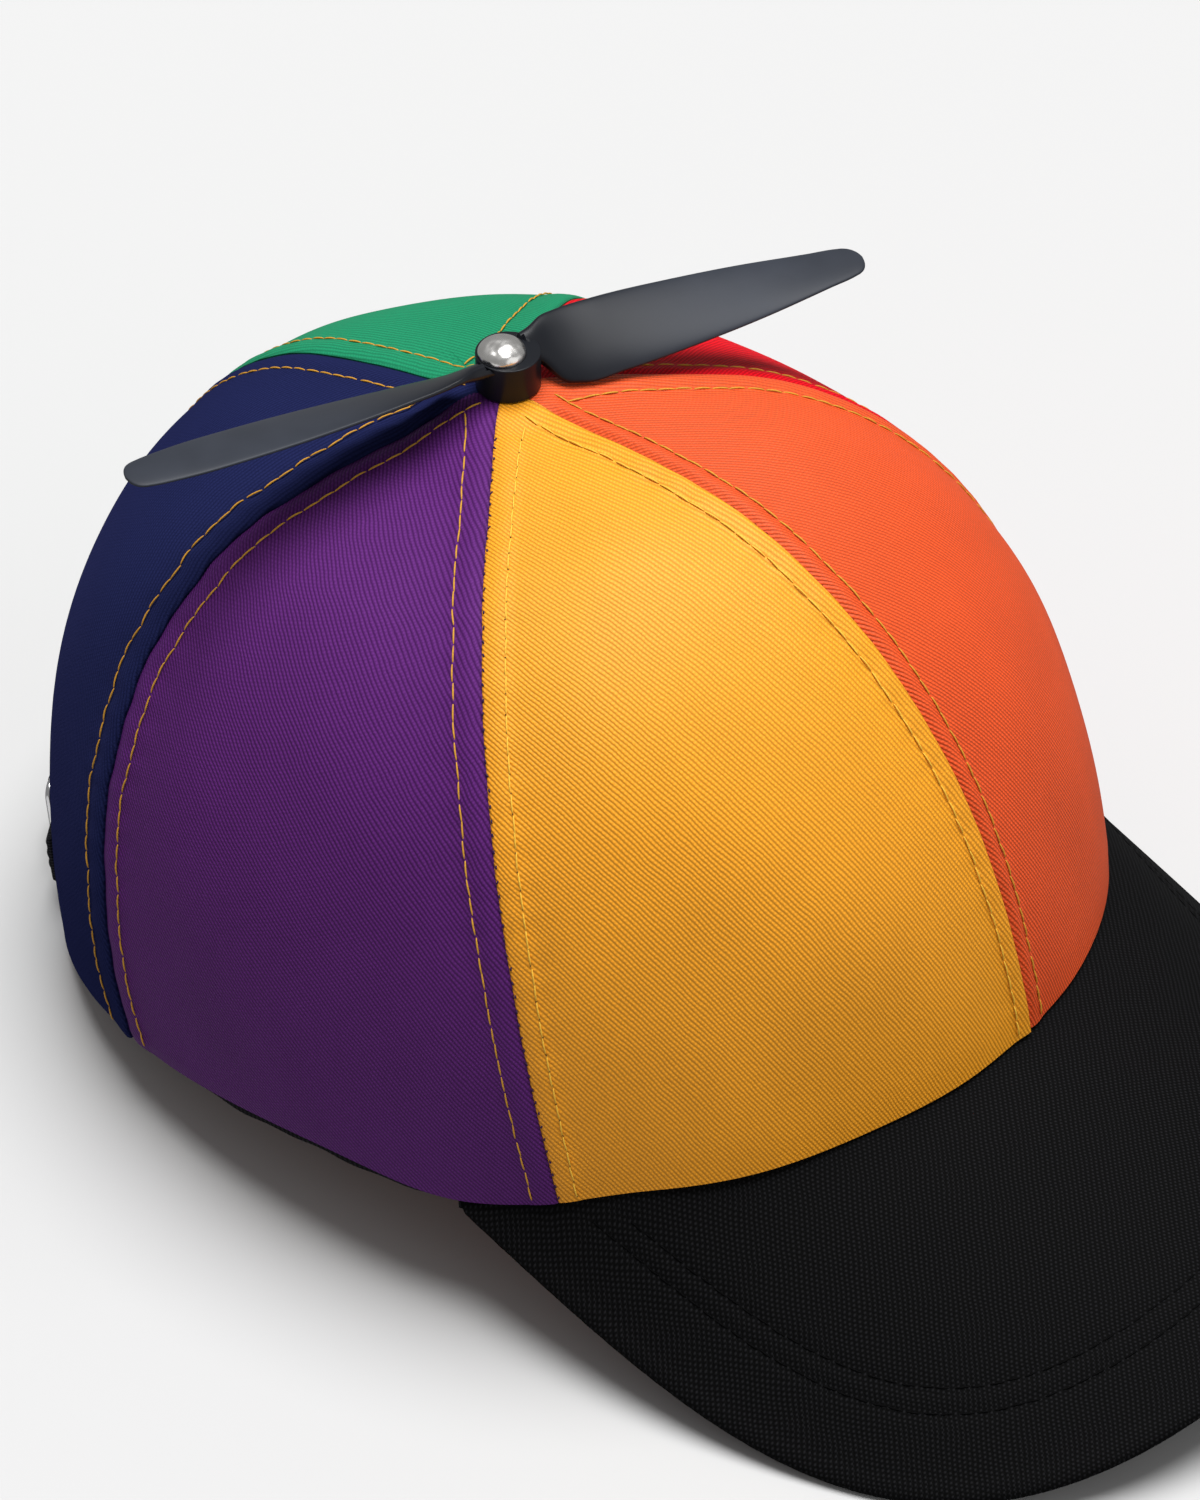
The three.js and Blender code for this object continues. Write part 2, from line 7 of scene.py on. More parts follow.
import json
import logging
import math
from dataclasses import dataclass
from enum import Enum
from typing import Optional, Sequence, Union

import bmesh
import bpy
import numpy as np
from mathutils import Matrix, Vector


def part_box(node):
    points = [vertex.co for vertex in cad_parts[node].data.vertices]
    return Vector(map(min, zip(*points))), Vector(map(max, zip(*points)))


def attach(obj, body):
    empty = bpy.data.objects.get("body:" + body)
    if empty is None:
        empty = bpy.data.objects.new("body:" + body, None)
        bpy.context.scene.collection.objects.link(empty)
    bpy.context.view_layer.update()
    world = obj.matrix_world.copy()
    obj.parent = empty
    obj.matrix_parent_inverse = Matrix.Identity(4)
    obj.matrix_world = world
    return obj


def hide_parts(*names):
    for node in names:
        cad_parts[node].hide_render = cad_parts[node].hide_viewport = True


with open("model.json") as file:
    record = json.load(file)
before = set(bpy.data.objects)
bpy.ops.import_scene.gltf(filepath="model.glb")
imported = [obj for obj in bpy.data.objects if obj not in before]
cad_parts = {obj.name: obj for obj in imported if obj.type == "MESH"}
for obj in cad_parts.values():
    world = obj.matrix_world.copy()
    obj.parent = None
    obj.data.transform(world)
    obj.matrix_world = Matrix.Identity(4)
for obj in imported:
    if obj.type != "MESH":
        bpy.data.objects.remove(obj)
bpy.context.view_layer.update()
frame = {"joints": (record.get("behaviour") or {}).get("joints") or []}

logging.basicConfig(level=logging.INFO, format="%(message)s")
LOG = logging.getLogger("cap")

Array = np.ndarray
Colour = tuple[float, float, float]
MM = 0.001
TAU = 2 * math.pi
CLOTH_ATTRIBUTE = "cloth"
WELD = 1e-4
SLOPE_STEP = 1e-3


class Body(Enum):
    """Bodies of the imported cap."""

    CAP = "cap"
    PROPELLER = "propeller"


class SeamSide(Enum):
    """Side of a seam, going round the head towards the wearer's left."""

    BEFORE = -1
    AFTER = 1


class Seed(Enum):
    """First seed of each kind of stitch row beside the seams' own."""

    BITES = 40
    HOLES = 51
    PEAK = 70
    STRAP = 80
    ARCH = 99


def smoothstep(value: Array, low: Union[Array, float], high: Union[Array, float]) -> Array:
    """Ease from 0 at low to 1 at high: 3t^2 - 2t^3 of the clipped share t."""
    share = np.clip((value - low) / (high - low), 0, 1)
    return share * share * (3 - 2 * share)


def unit(vectors: Array) -> Array:
    """Vectors divided by their own lengths."""
    return vectors / np.linalg.norm(vectors, axis=-1, keepdims=True)


def wrapped(angle: Array) -> Array:
    """Angle brought into the half-open turn about zero."""
    return np.arctan2(np.sin(angle), np.cos(angle))


def eased(count: int) -> Array:
    """Shares s from 0 to 1 that crowd at both ends: (1 - cos(pi s)) / 2."""
    return (1 - np.cos(np.linspace(0, math.pi, count))) / 2


def crowded(count: int) -> Array:
    """Shares from 0 to 1, closer together at both ends: 0.3 of even ones and 0.7 of eased ones."""
    return 0.3 * np.linspace(0, 1, count) + 0.7 * eased(count)


def around(count: int) -> Array:
    """Angles of a number of places spread evenly round a turn."""
    return np.arange(count) * TAU / count


def squared(wave: Array, power: float) -> Array:
    """A wave's size raised to a power, with its sign kept, as a superellipse needs."""
    return np.sign(wave) * np.abs(wave) ** power


def bell(distance: Array, width: float) -> Array:
    """Bell of a distance: exp(-(distance / width)^2)."""
    return np.exp(-((distance / width) ** 2))


def capped(rings: Array) -> Array:
    """Rings of a tube, closed at both ends by a ring drawn to its middle."""
    ends = np.repeat(rings[[0, -1]].mean(axis=1, keepdims=True), rings.shape[1], axis=1)
    return np.concatenate([ends[:1], rings, ends[1:]])


def linear(code: int) -> Colour:
    """Scene-linear colour of a 0xRRGGBB screen colour: ((c + 0.055) / 1.055) ^ 2.4 on each channel.

    Args:
        code: the screen colour.

    Returns:
        Red, green and blue.
    """
    channels = [((code >> bits) & 0xFF) / 255 for bits in (16, 8, 0)]
    red, green, blue = (((c + 0.055) / 1.055) ** 2.4 if c > 0.04045 else c / 12.92 for c in channels)
    return red, green, blue


def edge_roll(distance: Array, width: float, depth: float) -> Array:
    """Drop of a turned edge: a quarter ellipse, depth at the edge itself and nothing beyond width."""
    share = 1 - np.clip(distance / width, 0, 1)
    return depth * (1 - np.sqrt(1 - share * share))


def hermite(places: Array, knots: Array, values: Array) -> Array:
    """Smooth curve through knots: cubic pieces whose slopes are the knots' central differences.

    Args:
        places: where the curve is wanted.
        knots: rising places of the knots.
        values: values at the knots.

    Returns:
        Values at the places.
    """
    slopes = np.gradient(values, knots)
    piece = np.clip(np.searchsorted(knots, places) - 1, 0, len(knots) - 2)
    span = knots[piece + 1] - knots[piece]
    t = (places - knots[piece]) / span
    start = (1 + 2 * t) * (1 - t) ** 2 * values[piece] + t * (1 - t) ** 2 * span * slopes[piece]
    return start + t * t * (3 - 2 * t) * values[piece + 1] + t * t * (t - 1) * span * slopes[piece + 1]


def grid_quads(rows: int, columns: int, start: int = 0, round_columns: bool = False) -> Array:
    """Quads of a grid of vertices numbered row by row.

    Args:
        rows: number of rows of vertices.
        columns: number of vertices in a row.
        start: number of the first vertex.
        round_columns: join the last column back to the first.

    Returns:
        One row of four vertex numbers for each quad.
    """
    index = start + np.arange(rows * columns).reshape(rows, columns)
    if round_columns:
        index = np.concatenate([index, index[:, :1]], axis=1)
    corners = [index[:-1, :-1], index[:-1, 1:], index[1:, 1:], index[1:, :-1]]
    return np.stack(corners, axis=-1).reshape(-1, 4)


def wall_quads(rows: int, columns: int) -> Array:
    """Quads of a closed wall: an outer grid, an inner grid numbered after it, and a strip round the rim.

    Args:
        rows: rows of each grid.
        columns: columns of each grid.

    Returns:
        One row of four vertex numbers for each quad.
    """
    count = rows * columns
    index = np.arange(count).reshape(rows, columns)
    rim = np.concatenate([index[0, :-1], index[:-1, -1], index[-1, :0:-1], index[:0:-1, 0]])
    following = np.roll(rim, -1)
    strip = np.stack([following, rim, rim + count, following + count], axis=-1)
    return np.concatenate([grid_quads(rows, columns), grid_quads(rows, columns, count)[:, ::-1], strip])


def outward(points: Array, quads: Array) -> Array:
    """Quads turned so that the closed shape's signed volume, the sum of a.(b x c), is positive.

    Args:
        points: vertices of the shape.
        quads: its quads, all turned alike.

    Returns:
        The quads, or the same quads reversed.
    """
    a, b, c, d = (points[quads[:, corner]] for corner in range(4))
    volume = np.einsum("ij,ij->", a, np.cross(b, c)) + np.einsum("ij,ij->", a, np.cross(c, d))
    return quads if volume > 0 else quads[:, ::-1]


class Wire:
    """A shader socket that takes part in Python arithmetic, each operator adding one Math node."""

    def __init__(self, shader: "Shader", socket: bpy.types.NodeSocket) -> None:
        """Keep the shader that owns the socket, and the socket."""
        self.shader = shader
        self.socket = socket

    def _math(self, operation: str, *values: "Number") -> "Wire":
        """Math node of an operation on the given values, in order."""
        inputs = dict(enumerate(values))
        return self.shader.add("ShaderNodeMath", {"operation": operation}, inputs)

    def __add__(self, other: "Number") -> "Wire":
        """Sum."""
        return self._math("ADD", self, other)

    __radd__ = __add__

    def __sub__(self, other: "Number") -> "Wire":
        """Difference."""
        return self._math("SUBTRACT", self, other)

    def __rsub__(self, other: "Number") -> "Wire":
        """Difference from a number."""
        return self._math("SUBTRACT", other, self)

    def __mul__(self, other: "Number") -> "Wire":
        """Product."""
        return self._math("MULTIPLY", self, other)

    __rmul__ = __mul__

    def __truediv__(self, other: "Number") -> "Wire":
        """Quotient."""
        return self._math("DIVIDE", self, other)

    def __pow__(self, other: "Number") -> "Wire":
        """Power."""
        return self._math("POWER", self, other)

    def sine(self) -> "Wire":
        """Sine of an angle in radians."""
        return self._math("SINE", self)

    def floor(self) -> "Wire":
        """Whole number below."""
        return self._math("FLOOR", self)

    def ease(self, low: float, high: float) -> "Wire":
        """Smooth step from 0 at low to 1 at high.

        Args:
            low: value that gives 0.
            high: value that gives 1.

        Returns:
            The eased wire.
        """
        settings = {"interpolation_type": "SMOOTHSTEP"}
        inputs = {"Value": self, "From Min": low, "From Max": high}
        return self.shader.add("ShaderNodeMapRange", settings, inputs)

    def ripple(self, pitch: float) -> "Wire":
        """Even rise and fall between 0 and 1 with a given pitch: (1 + sin(2 pi x / pitch)) / 2."""
        return (self * (TAU / pitch)).sine() * 0.5 + 0.5


Number = Union[Wire, float]


class Shader:
    """One Principled material and the nodes that feed it."""

    def __init__(self, name: str) -> None:
        """Start a material that holds a Principled shader and its output.

        Args:
            name: the material's name.
        """
        self.material = bpy.data.materials.new(name)
        self.material.use_nodes = True
        self.tree = self.material.node_tree
        self.principled = self.tree.nodes["Principled BSDF"]

    def add(self, kind: str, settings: Optional[dict] = None, inputs: Optional[dict] = None) -> Wire:
        """Add a node.

        Args:
            kind: the node's type.
            settings: its properties, set first; "output" picks the socket that is returned.
            inputs: values or wires by socket name or number.

        Returns:
            The wire of the node's chosen output, or of its first one.
        """
        node = self.tree.nodes.new(kind)
        chosen = 0
        for key, value in (settings or {}).items():
            if key == "output":
                chosen = value
            else:
                setattr(node, key, value)
        for key, value in (inputs or {}).items():
            self.feed(node.inputs[key], value)
        return Wire(self, node.outputs[chosen])

    def feed(self, socket: bpy.types.NodeSocket, value: Union[Number, Sequence[float]]) -> None:
        """Link a wire to a socket, or set the socket's own value.

        Args:
            socket: the input socket.
            value: a wire, a number or a colour.
        """
        if isinstance(value, Wire):
            self.tree.links.new(value.socket, socket)
        else:
            socket.default_value = value

    def split(self, vector: Wire) -> tuple[Wire, Wire, Wire]:
        """The three parts of a vector."""
        parts = self.add("ShaderNodeSeparateXYZ", None, {"Vector": vector}).socket.node.outputs
        return Wire(self, parts[0]), Wire(self, parts[1]), Wire(self, parts[2])

    def cloth(self) -> Wire:
        """Place on a cloth piece in millimetres: across it, along it, and away from its nearest seam."""
        return self.add("ShaderNodeAttribute", {"attribute_name": CLOTH_ATTRIBUTE, "output": "Vector"})

    def place(self) -> Wire:
        """Object coordinates, in metres."""
        return self.add("ShaderNodeTexCoord", {"output": "Object"})

    def noise(self, vector: Wire, scale: float, detail: float = 2.0, stretch: Colour = (1, 1, 1)) -> Wire:
        """Soft noise between 0 and 1.

        Args:
            vector: coordinates.
            scale: features to a unit of the coordinates.
            detail: octaves of finer noise.
            stretch: scale of each axis before the noise.

        Returns:
            The noise's value.
        """
        mapped = self.add("ShaderNodeMapping", None, {"Vector": vector, "Scale": stretch})
        inputs = {"Vector": mapped, "Scale": scale, "Detail": detail}
        return self.add("ShaderNodeTexNoise", None, inputs)

    def mix(self, factor: Number, first: Union[Wire, Colour], second: Union[Wire, Colour]) -> Wire:
        """Colour between two colours.

        Args:
            factor: 0 for the first colour and 1 for the second.
            first: the first colour.
            second: the second colour.

        Returns:
            The mixed colour.
        """
        colours = [c if isinstance(c, Wire) else (*c, 1.0) for c in (first, second)]
        inputs = {0: factor, 6: colours[0], 7: colours[1]}
        return self.add("ShaderNodeMix", {"data_type": "RGBA", "output": 2}, inputs)

    def bump(self, height: Wire, depth: float) -> Wire:
        """Normal of a surface raised by height times depth in millimetres."""
        return self.add("ShaderNodeBump", None, {"Height": height, "Distance": depth * MM})

    def shade(self, **sockets: Union[Number, Sequence[float]]) -> bpy.types.Material:
        """Feed the Principled shader's sockets, named with _ for a space, and return the material.

        Args:
            sockets: a value or a wire for each socket.

        Returns:
            The finished material.
        """
        for key, value in sockets.items():
            self.feed(self.principled.inputs[key.replace("_", " ")], value)
        return self.material


@dataclass(frozen=True)
class TwillFinish:
    """Cotton twill: diagonal wales beaded by their yarns, over a soft mottle, with a light nap."""

    name: str
    colour: Colour
    wale_angle: float
    gloss: float = 0.2
    gloss_tint: Colour = (1.0, 1.0, 1.0)
    fuzz: float = 0.0
    lustre: float = 0.0
    lustre_roughness: float = 0.5
    roughness: float = 0.62
    roughness_spread: float = 0.16
    wale_pitch: float = 0.8
    bead_pitch: float = 0.72
    wale_depth: float = 0.14
    wale_fullness: float = 0.7
    bead_relief: float = 0.35
    shade_depth: float = 0.3
    nap: float = 0.16
    wander: float = 1.2
    wander_scale: float = 0.09
    yarn_stray: float = 0.25
    bead_stray: float = 0.4
    yarn_scale: float = 1.4
    fibre_scale: float = 3.6
    mottle_scale: float = 0.05
    wale_tone: float = 0.4
    bead_tone: float = 0.25
    fibre_tone: float = 0.2
    mottle_tone: float = 0.2
    base_tone: float = 0.06
    seam_tone: float = 0.3
    seam_shade_width: float = 0.7
    bead_lustre: float = 0.4
    fuzz_roughness: float = 0.35

    def dress(self) -> bpy.types.Material:
        """Wales are a sine of the place square to them, beads a sine along them, both broken by noise.

        Returns:
            The cloth's material, with a lustre on the tops of the wales.
        """
        shader = Shader(self.name)
        cloth = shader.cloth()
        across, along, seam = shader.split(cloth)
        angle = math.radians(self.wale_angle)
        sine, cosine = math.sin(angle), math.cos(angle)
        wander = shader.noise(cloth, self.wander_scale, 3.0)
        yarn = shader.noise(cloth, self.yarn_scale, 2.0)
        strayed = (wander * self.wander + yarn * self.yarn_stray) * self.wale_pitch
        square = across * sine + along * cosine + strayed
        half_drop = (square / self.wale_pitch + 0.25).floor() * (0.5 * self.bead_pitch)
        run = across * cosine - along * sine + yarn * self.bead_stray + half_drop
        wale = square.ripple(self.wale_pitch) ** self.wale_fullness
        bead = run.ripple(self.bead_pitch)
        fibre = shader.noise(cloth, self.fibre_scale, 3.0)
        mottle = shader.noise(cloth, self.mottle_scale, 4.0)
        # Painted shade: the colour darkens within seam_shade_width of each seam, where the turned edges
        # roll down into the crease.
        seam_shade = 1 - seam.ease(0.0, self.seam_shade_width)
        height = wale * (bead * self.bead_relief + (1 - self.bead_relief))
        height = height * (1 - self.nap) + fibre * (2 * self.nap)
        tone = wale * (bead * self.bead_tone + self.wale_tone) + fibre * (self.fibre_tone + self.nap)
        tone = tone + mottle * self.mottle_tone + self.base_tone - seam_shade * self.seam_tone
        deep = tuple(c * (1 - 2 * self.shade_depth) for c in self.colour)
        light = tuple(min(c * (1 + self.shade_depth) + 0.002, 1.0) for c in self.colour)
        return shader.shade(
            Base_Color=shader.mix(tone, deep, light),
            Roughness=fibre * self.roughness_spread + (self.roughness - self.roughness_spread / 2),
            Specular_IOR_Level=self.gloss,
            Specular_Tint=(*self.gloss_tint, 1.0),
            Sheen_Weight=self.fuzz,
            Sheen_Roughness=self.fuzz_roughness,
            Sheen_Tint=(*self.gloss_tint, 1.0),
            Coat_Weight=wale * (bead * self.bead_lustre + (1 - self.bead_lustre)) * self.lustre,
            Coat_Roughness=self.lustre_roughness,
            Normal=shader.bump(height, self.wale_depth),
        )


@dataclass(frozen=True)
class RibbedWeaveFinish:
    """Stout woven cloth with fine upright ribs crossed by finer yarns."""

    name: str
    deep: Colour
    light: Colour
    rib_pitch: float = 0.85
    cross_pitch: float = 0.62
    depth: float = 0.09
    roughness: float = 0.8
    roughness_spread: float = 0.16
    gloss: float = 0.05
    rib_wander: float = 0.9
    cross_wander: float = 0.7
    wander_scale: float = 0.12
    fibre_scale: float = 2.6
    rib_relief: float = 0.6
    cross_relief: float = 0.5
    fibre_relief: float = 0.35
    knot_power: float = 1.5
    knot_tone: float = 1.1
    fibre_tone: float = 0.35

    def dress(self) -> bpy.types.Material:
        """Ribs and cross yarns are sines of the cloth's lengths, multiplied and roughened by noise.

        Returns:
            The woven cloth's material.
        """
        shader = Shader(self.name)
        cloth = shader.cloth()
        across, along, _ = shader.split(cloth)
        wander = shader.noise(cloth, self.wander_scale, 3.0)
        fibre = shader.noise(cloth, self.fibre_scale, 3.0)
        half_drop = ((across / self.rib_pitch).floor() * 0.5) * self.cross_pitch
        rib = (across + wander * self.rib_wander).ripple(self.rib_pitch)
        cross = (along + half_drop + wander * self.cross_wander).ripple(self.cross_pitch)
        knot = rib * cross
        height = rib * self.rib_relief + knot * self.cross_relief + fibre * self.fibre_relief
        tone = knot ** self.knot_power * self.knot_tone + fibre ** 2.0 * self.fibre_tone
        return shader.shade(
            Base_Color=shader.mix(tone, self.deep, self.light),
            Roughness=fibre * self.roughness_spread + (self.roughness - self.roughness_spread / 2),
            Specular_IOR_Level=self.gloss,
            Normal=shader.bump(height, self.depth),
        )


@dataclass(frozen=True)
class ThreadFinish:
    """Spun thread with a little gloss on its plies."""

    name: str
    deep: Colour
    light: Colour
    gloss: float = 0.3
    roughness: float = 0.54
    roughness_spread: float = 0.12
    ply_scale: float = 2600.0
    ply_depth: float = 0.05

    def dress(self) -> bpy.types.Material:
        """Tone, roughness and relief are fine noise on the thread's own place.

        Returns:
            The thread's material.
        """
        shader = Shader(self.name)
        ply = shader.noise(shader.place(), self.ply_scale, 2.0)
        return shader.shade(
            Base_Color=shader.mix(ply, self.deep, self.light),
            Roughness=ply * self.roughness_spread + self.roughness,
            Specular_IOR_Level=self.gloss,
            Normal=shader.bump(ply, self.ply_depth),
        )


@dataclass(frozen=True)
class MouldedPlasticFinish:
    """Dark moulded plastic, glossy at the hub and rougher along the blades, whose colour has painted
    light: lighter away from the hub.
    """

    name: str
    colour: Colour
    painted_light_colour: Colour
    pin: tuple[float, float]
    gloss_roughness: float = 0.26
    painted_light_and_dulling_from: float = 0.006
    painted_light_and_dulling_to: float = 0.045
    gloss: float = 0.16
    painted_light_drift: float = 0.7
    dulling_roughness: float = 0.12
    drift_roughness: float = 0.12
    drift_scale: float = 60.0
    grain_scale: float = 1800.0
    grain_depth: float = 0.006

    def dress(self) -> bpy.types.Material:
        """Painted light on the colour, and the roughness, grow with the distance from the pin and drift
        with slow noise, over a fine grain.

        Returns:
            The moulding's material.
        """
        shader = Shader(self.name)
        place = shader.place()
        drift = shader.noise(place, self.drift_scale, 4.0)
        grain = shader.noise(place, self.grain_scale, 2.0)
        x, y, _ = shader.split(place)
        away = ((x - self.pin[0]) ** 2.0 + (y - self.pin[1]) ** 2.0) ** 0.5
        # Painted light: the colour lightens from the hub out along the blades, standing in for the light
        # that falls on them; the roughness rises with it.
        painted_light_and_dulling = away.ease(self.painted_light_and_dulling_from, self.painted_light_and_dulling_to)
        tone = painted_light_and_dulling * (drift * self.painted_light_drift + (1 - self.painted_light_drift))
        dulled = painted_light_and_dulling * self.dulling_roughness + drift * self.drift_roughness
        return shader.shade(
            Base_Color=shader.mix(tone, self.colour, self.painted_light_colour),
            Roughness=dulled + self.gloss_roughness,
            Specular_IOR_Level=self.gloss,
            Normal=shader.bump(grain, self.grain_depth),
        )


@dataclass(frozen=True)
class PolishedMetalFinish:
    """Polished plated steel with fine wear."""

    name: str
    colour: Colour
    dull: Colour
    roughness: float = 0.1
    dent: float = 0.0
    dent_scale: float = 380.0
    patch_roughness: float = 0.12
    patch_scale: float = 420.0
    scuff_roughness: float = 0.06
    scuff_scale: float = 900.0
    scuff_stretch: Colour = (1.0, 7.0, 3.0)
    scuff_depth: float = 0.004

    def dress(self) -> bpy.types.Material:
        """Roughness follows noise in patches, with soft dents and scuffs from stretched noise.

        Returns:
            The metal's material.
        """
        shader = Shader(self.name)
        place = shader.place()
        patch = shader.noise(place, self.patch_scale, 4.0)
        scuff = shader.noise(place, self.scuff_scale, 3.0, self.scuff_stretch)
        dents = shader.noise(place, self.dent_scale, 1.0)
        worn = patch * self.patch_roughness + scuff * self.scuff_roughness
        return shader.shade(
            Base_Color=shader.mix(patch, self.dull, self.colour),
            Metallic=1.0,
            Roughness=worn + (self.roughness - self.patch_roughness / 2),
            Normal=shader.bump(scuff * self.scuff_depth + dents * self.dent, 1.0),
        )


@dataclass(frozen=True)
class Wave:
    """A mean and three cosine waves round the head, with 0 at the front."""

    mean: float
    one: float
    two: float
    three: float

    def at(self, phi: Array) -> Array:
        """Mean + one cos(phi) + two cos(2 phi) + three cos(3 phi)."""
        waves = self.one * np.cos(phi) + self.two * np.cos(2 * phi) + self.three * np.cos(3 * phi)
        return self.mean + waves


@dataclass(frozen=True)
class HemDip:
    """A local dip of the hem: a bell of depth and spread about an angle."""

    angle: float
    depth: float
    spread: float


@dataclass(frozen=True)
class Seam:
    """A seam from the rivet to the hem.

    The panel before it laps over the one after it by lap, and lies under it where lap is negative. A
    row of stitches runs before it and another after it, and its edge wavers.
    """

    angle: float
    lean: float = 0.0
    lap: float = 0.0
    rows: tuple[float, float] = (5.2, 5.2)
    puffs: tuple[float, float] = (0.25, 0.25)
    waver: float = 0.05

    def at(self, u: Array) -> Array:
        """Angle at a place up the crown: angle + lean (1 - u)^2."""
        return self.angle + self.lean * (1 - u) ** 2

    def row(self, side: SeamSide) -> float:
        """Distance of the stitches on one side."""
        return self.rows[0] if side is SeamSide.BEFORE else self.rows[1]

    def puff(self, side: SeamSide) -> float:
        """Height of the cloth that swells between the seam and the stitches on one side."""
        return self.puffs[0] if side is SeamSide.BEFORE else self.puffs[1]

    def lap_on(self, side: SeamSide) -> float:
        """Height by which the panel on one side stands over its neighbour, or lies under it."""
        return self.lap if side is SeamSide.BEFORE else -self.lap

    def drift(self, u: Array) -> Array:
        """Sideways drift of the sewn edge: three sines of the place up the crown."""
        waves = np.sin(31 * u + 5 * self.angle) + 0.7 * np.sin(73 * u) + 0.35 * np.sin(131 * u)
        return self.waver * waves


@dataclass
class CrownForm:
    """The crown's outer face as in the solids, in millimetres about the middle of its hem."""

    girth: float = 590.0
    height: float = 103.1
    setback: float = 4.8
    hem_tuck: float = 0.006
    rest_pitch: float = math.radians(11.03)
    radius: Wave = Wave(1, -0.096, 0.099, -0.018)
    wall: Wave = Wave(2.65, -0.457, 0.341, 0)
    dome: Wave = Wave(2.296, 0.547, -0.223, 0)
    hem: Wave = Wave(0, 0, -0.52, 0.57)
    dips: tuple[HemDip, ...] = (
        HemDip(math.radians(68), 4.2, math.radians(14)),
        HemDip(math.radians(-68), 4.2, math.radians(14)),
        HemDip(math.radians(180), 5.8, math.radians(36)),
        HemDip(math.radians(153), 3.7, math.radians(11)),
        HemDip(math.radians(-155), 3.4, math.radians(11)),
    )
    pin_side: float = 0.36
    pin_back: float = 1.55
    draw_spread: float = 24.0
    seat_rise: float = 2.6
    seat_radius: float = 5.0
    seat_edge: float = 25.0
    seat_skew: float = 9.0
    cloth: float = 1.5
    gap: float = 0.3
    flange_thick: float = 1.0
    back_seam: float = math.radians(178.8)
    opening_width: float = 92.0

    def __post_init__(self) -> None:
        """Find the apex and the pin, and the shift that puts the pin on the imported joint's axis."""
        self.apex = self.open_point(np.array(0.0), np.array(1.0))
        self.pin = self.apex + np.array([self.pin_side, self.pin_back, self.seat_rise])
        packed = np.array(frame["joints"][0]["pos_m"]) / MM
        rivet_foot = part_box("rivet")[0][2] / MM
        packed[2] = rivet_foot + self.flange_thick + self.gap + self.cloth
        self.shift = packed - self.pin
        self.floor = -self.shift[2]

    def to_row(self, points: Array) -> Array:
        """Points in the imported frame, in metres."""
        return (points + self.shift) * MM

    def on_table(self, points: Array) -> Array:
        """Points with the cloth that would sink into the table flattened on it.

        Args:
            points: points in the crown's millimetres.

        Returns:
            The same points, none of them below the table.
        """
        lifted = points.copy()
        lifted[..., 2] = np.maximum(lifted[..., 2], self.floor)
        return lifted

    def hem_height(self, phi: Array) -> Array:
        """Height of the hem: its waves, less a bell for each dip.

        Args:
            phi: angle round the head.

        Returns:
            Heights in millimetres.
        """
        height = self.hem.at(phi)
        for dip in self.dips:
            height = height - dip.depth * bell(wrapped(phi - dip.angle), dip.spread)
        return height

    def hem_radius(self, phi: Array) -> Array:
        """Distance of the hem from the middle."""
        return self.girth / TAU * self.radius.at(phi)

    def open_point(self, phi: Array, u: Array) -> Array:
        """Superellipse from hem (u = 0) to apex (u = 1) in direction phi, pitched nose up.

        Args:
            phi: angle round the head.
            u: place up the crown.

        Returns:
            Points of the crown before it is drawn to the pin.
        """
        phi, u = np.broadcast_arrays(phi, u)
        turn = u * math.pi / 2
        lift = np.sin(turn) ** (2 / self.dome.at(phi))
        tuck = 1 - self.hem_tuck * (1 - lift) ** 4
        reach = self.hem_radius(phi) * tuck * np.maximum(np.cos(turn), 0) ** (2 / self.wall.at(phi))
        rise = self.height * lift + self.hem_height(phi) * (1 - lift)
        depth = self.setback * lift - reach * np.cos(phi)
        cosine, sine = math.cos(self.rest_pitch), math.sin(self.rest_pitch)
        y, z = cosine * depth + sine * rise, cosine * rise - sine * depth
        return np.stack([reach * np.sin(phi), y, z], axis=-1)

    def point(self, phi: Array, u: Array) -> Array:
        """Open crown drawn to the pin by a bell, and pressed level round it by a smooth step.

        Args:
            phi: angle round the head.
            u: place up the crown.

        Returns:
            Points of the crown's outer face.
        """
        point = self.open_point(phi, u)
        away = np.hypot(point[..., 0] - self.apex[0], point[..., 1] - self.apex[1])
        draw = bell(away, self.draw_spread)
        ahead = self.apex[1] - point[..., 1]
        edge = self.seat_edge + self.seat_skew * ahead / np.maximum(away, self.seat_radius)
        press = 1 - smoothstep(away, self.seat_radius, edge)
        x, y, z = np.moveaxis(point, -1, 0)
        level = z + (self.pin[2] - z) * press
        return np.stack([x + self.pin_side * draw, y + self.pin_back * draw, level], axis=-1)

    def normal(self, phi: Array, u: Array) -> Array:
        """Outward direction: the cross product of the steps round and up the crown.

        Args:
            phi: angle round the head.
            u: place up the crown.

        Returns:
            Unit vectors.
        """
        above, below = np.minimum(u + SLOPE_STEP, 1), np.maximum(u - SLOPE_STEP, 0)
        round_step = self.point(phi + SLOPE_STEP, u) - self.point(phi - SLOPE_STEP, u)
        return unit(np.cross(round_step, self.point(phi, above) - self.point(phi, below)))

    def wall_place(self, phi: Array, height: Array) -> Array:
        """Place up the wall that lies a height above the hem."""
        lift = np.maximum(height, 0) / (self.height - self.hem_height(phi))
        return 2 / math.pi * np.arcsin(lift ** (self.dome.at(phi) / 2))

    def tip_place(self, phi: Array, distance: float) -> Array:
        """Place up the crown that lies a distance from the pin."""
        return 2 / math.pi * np.arccos((distance / self.hem_radius(phi)) ** (self.wall.at(phi) / 2))

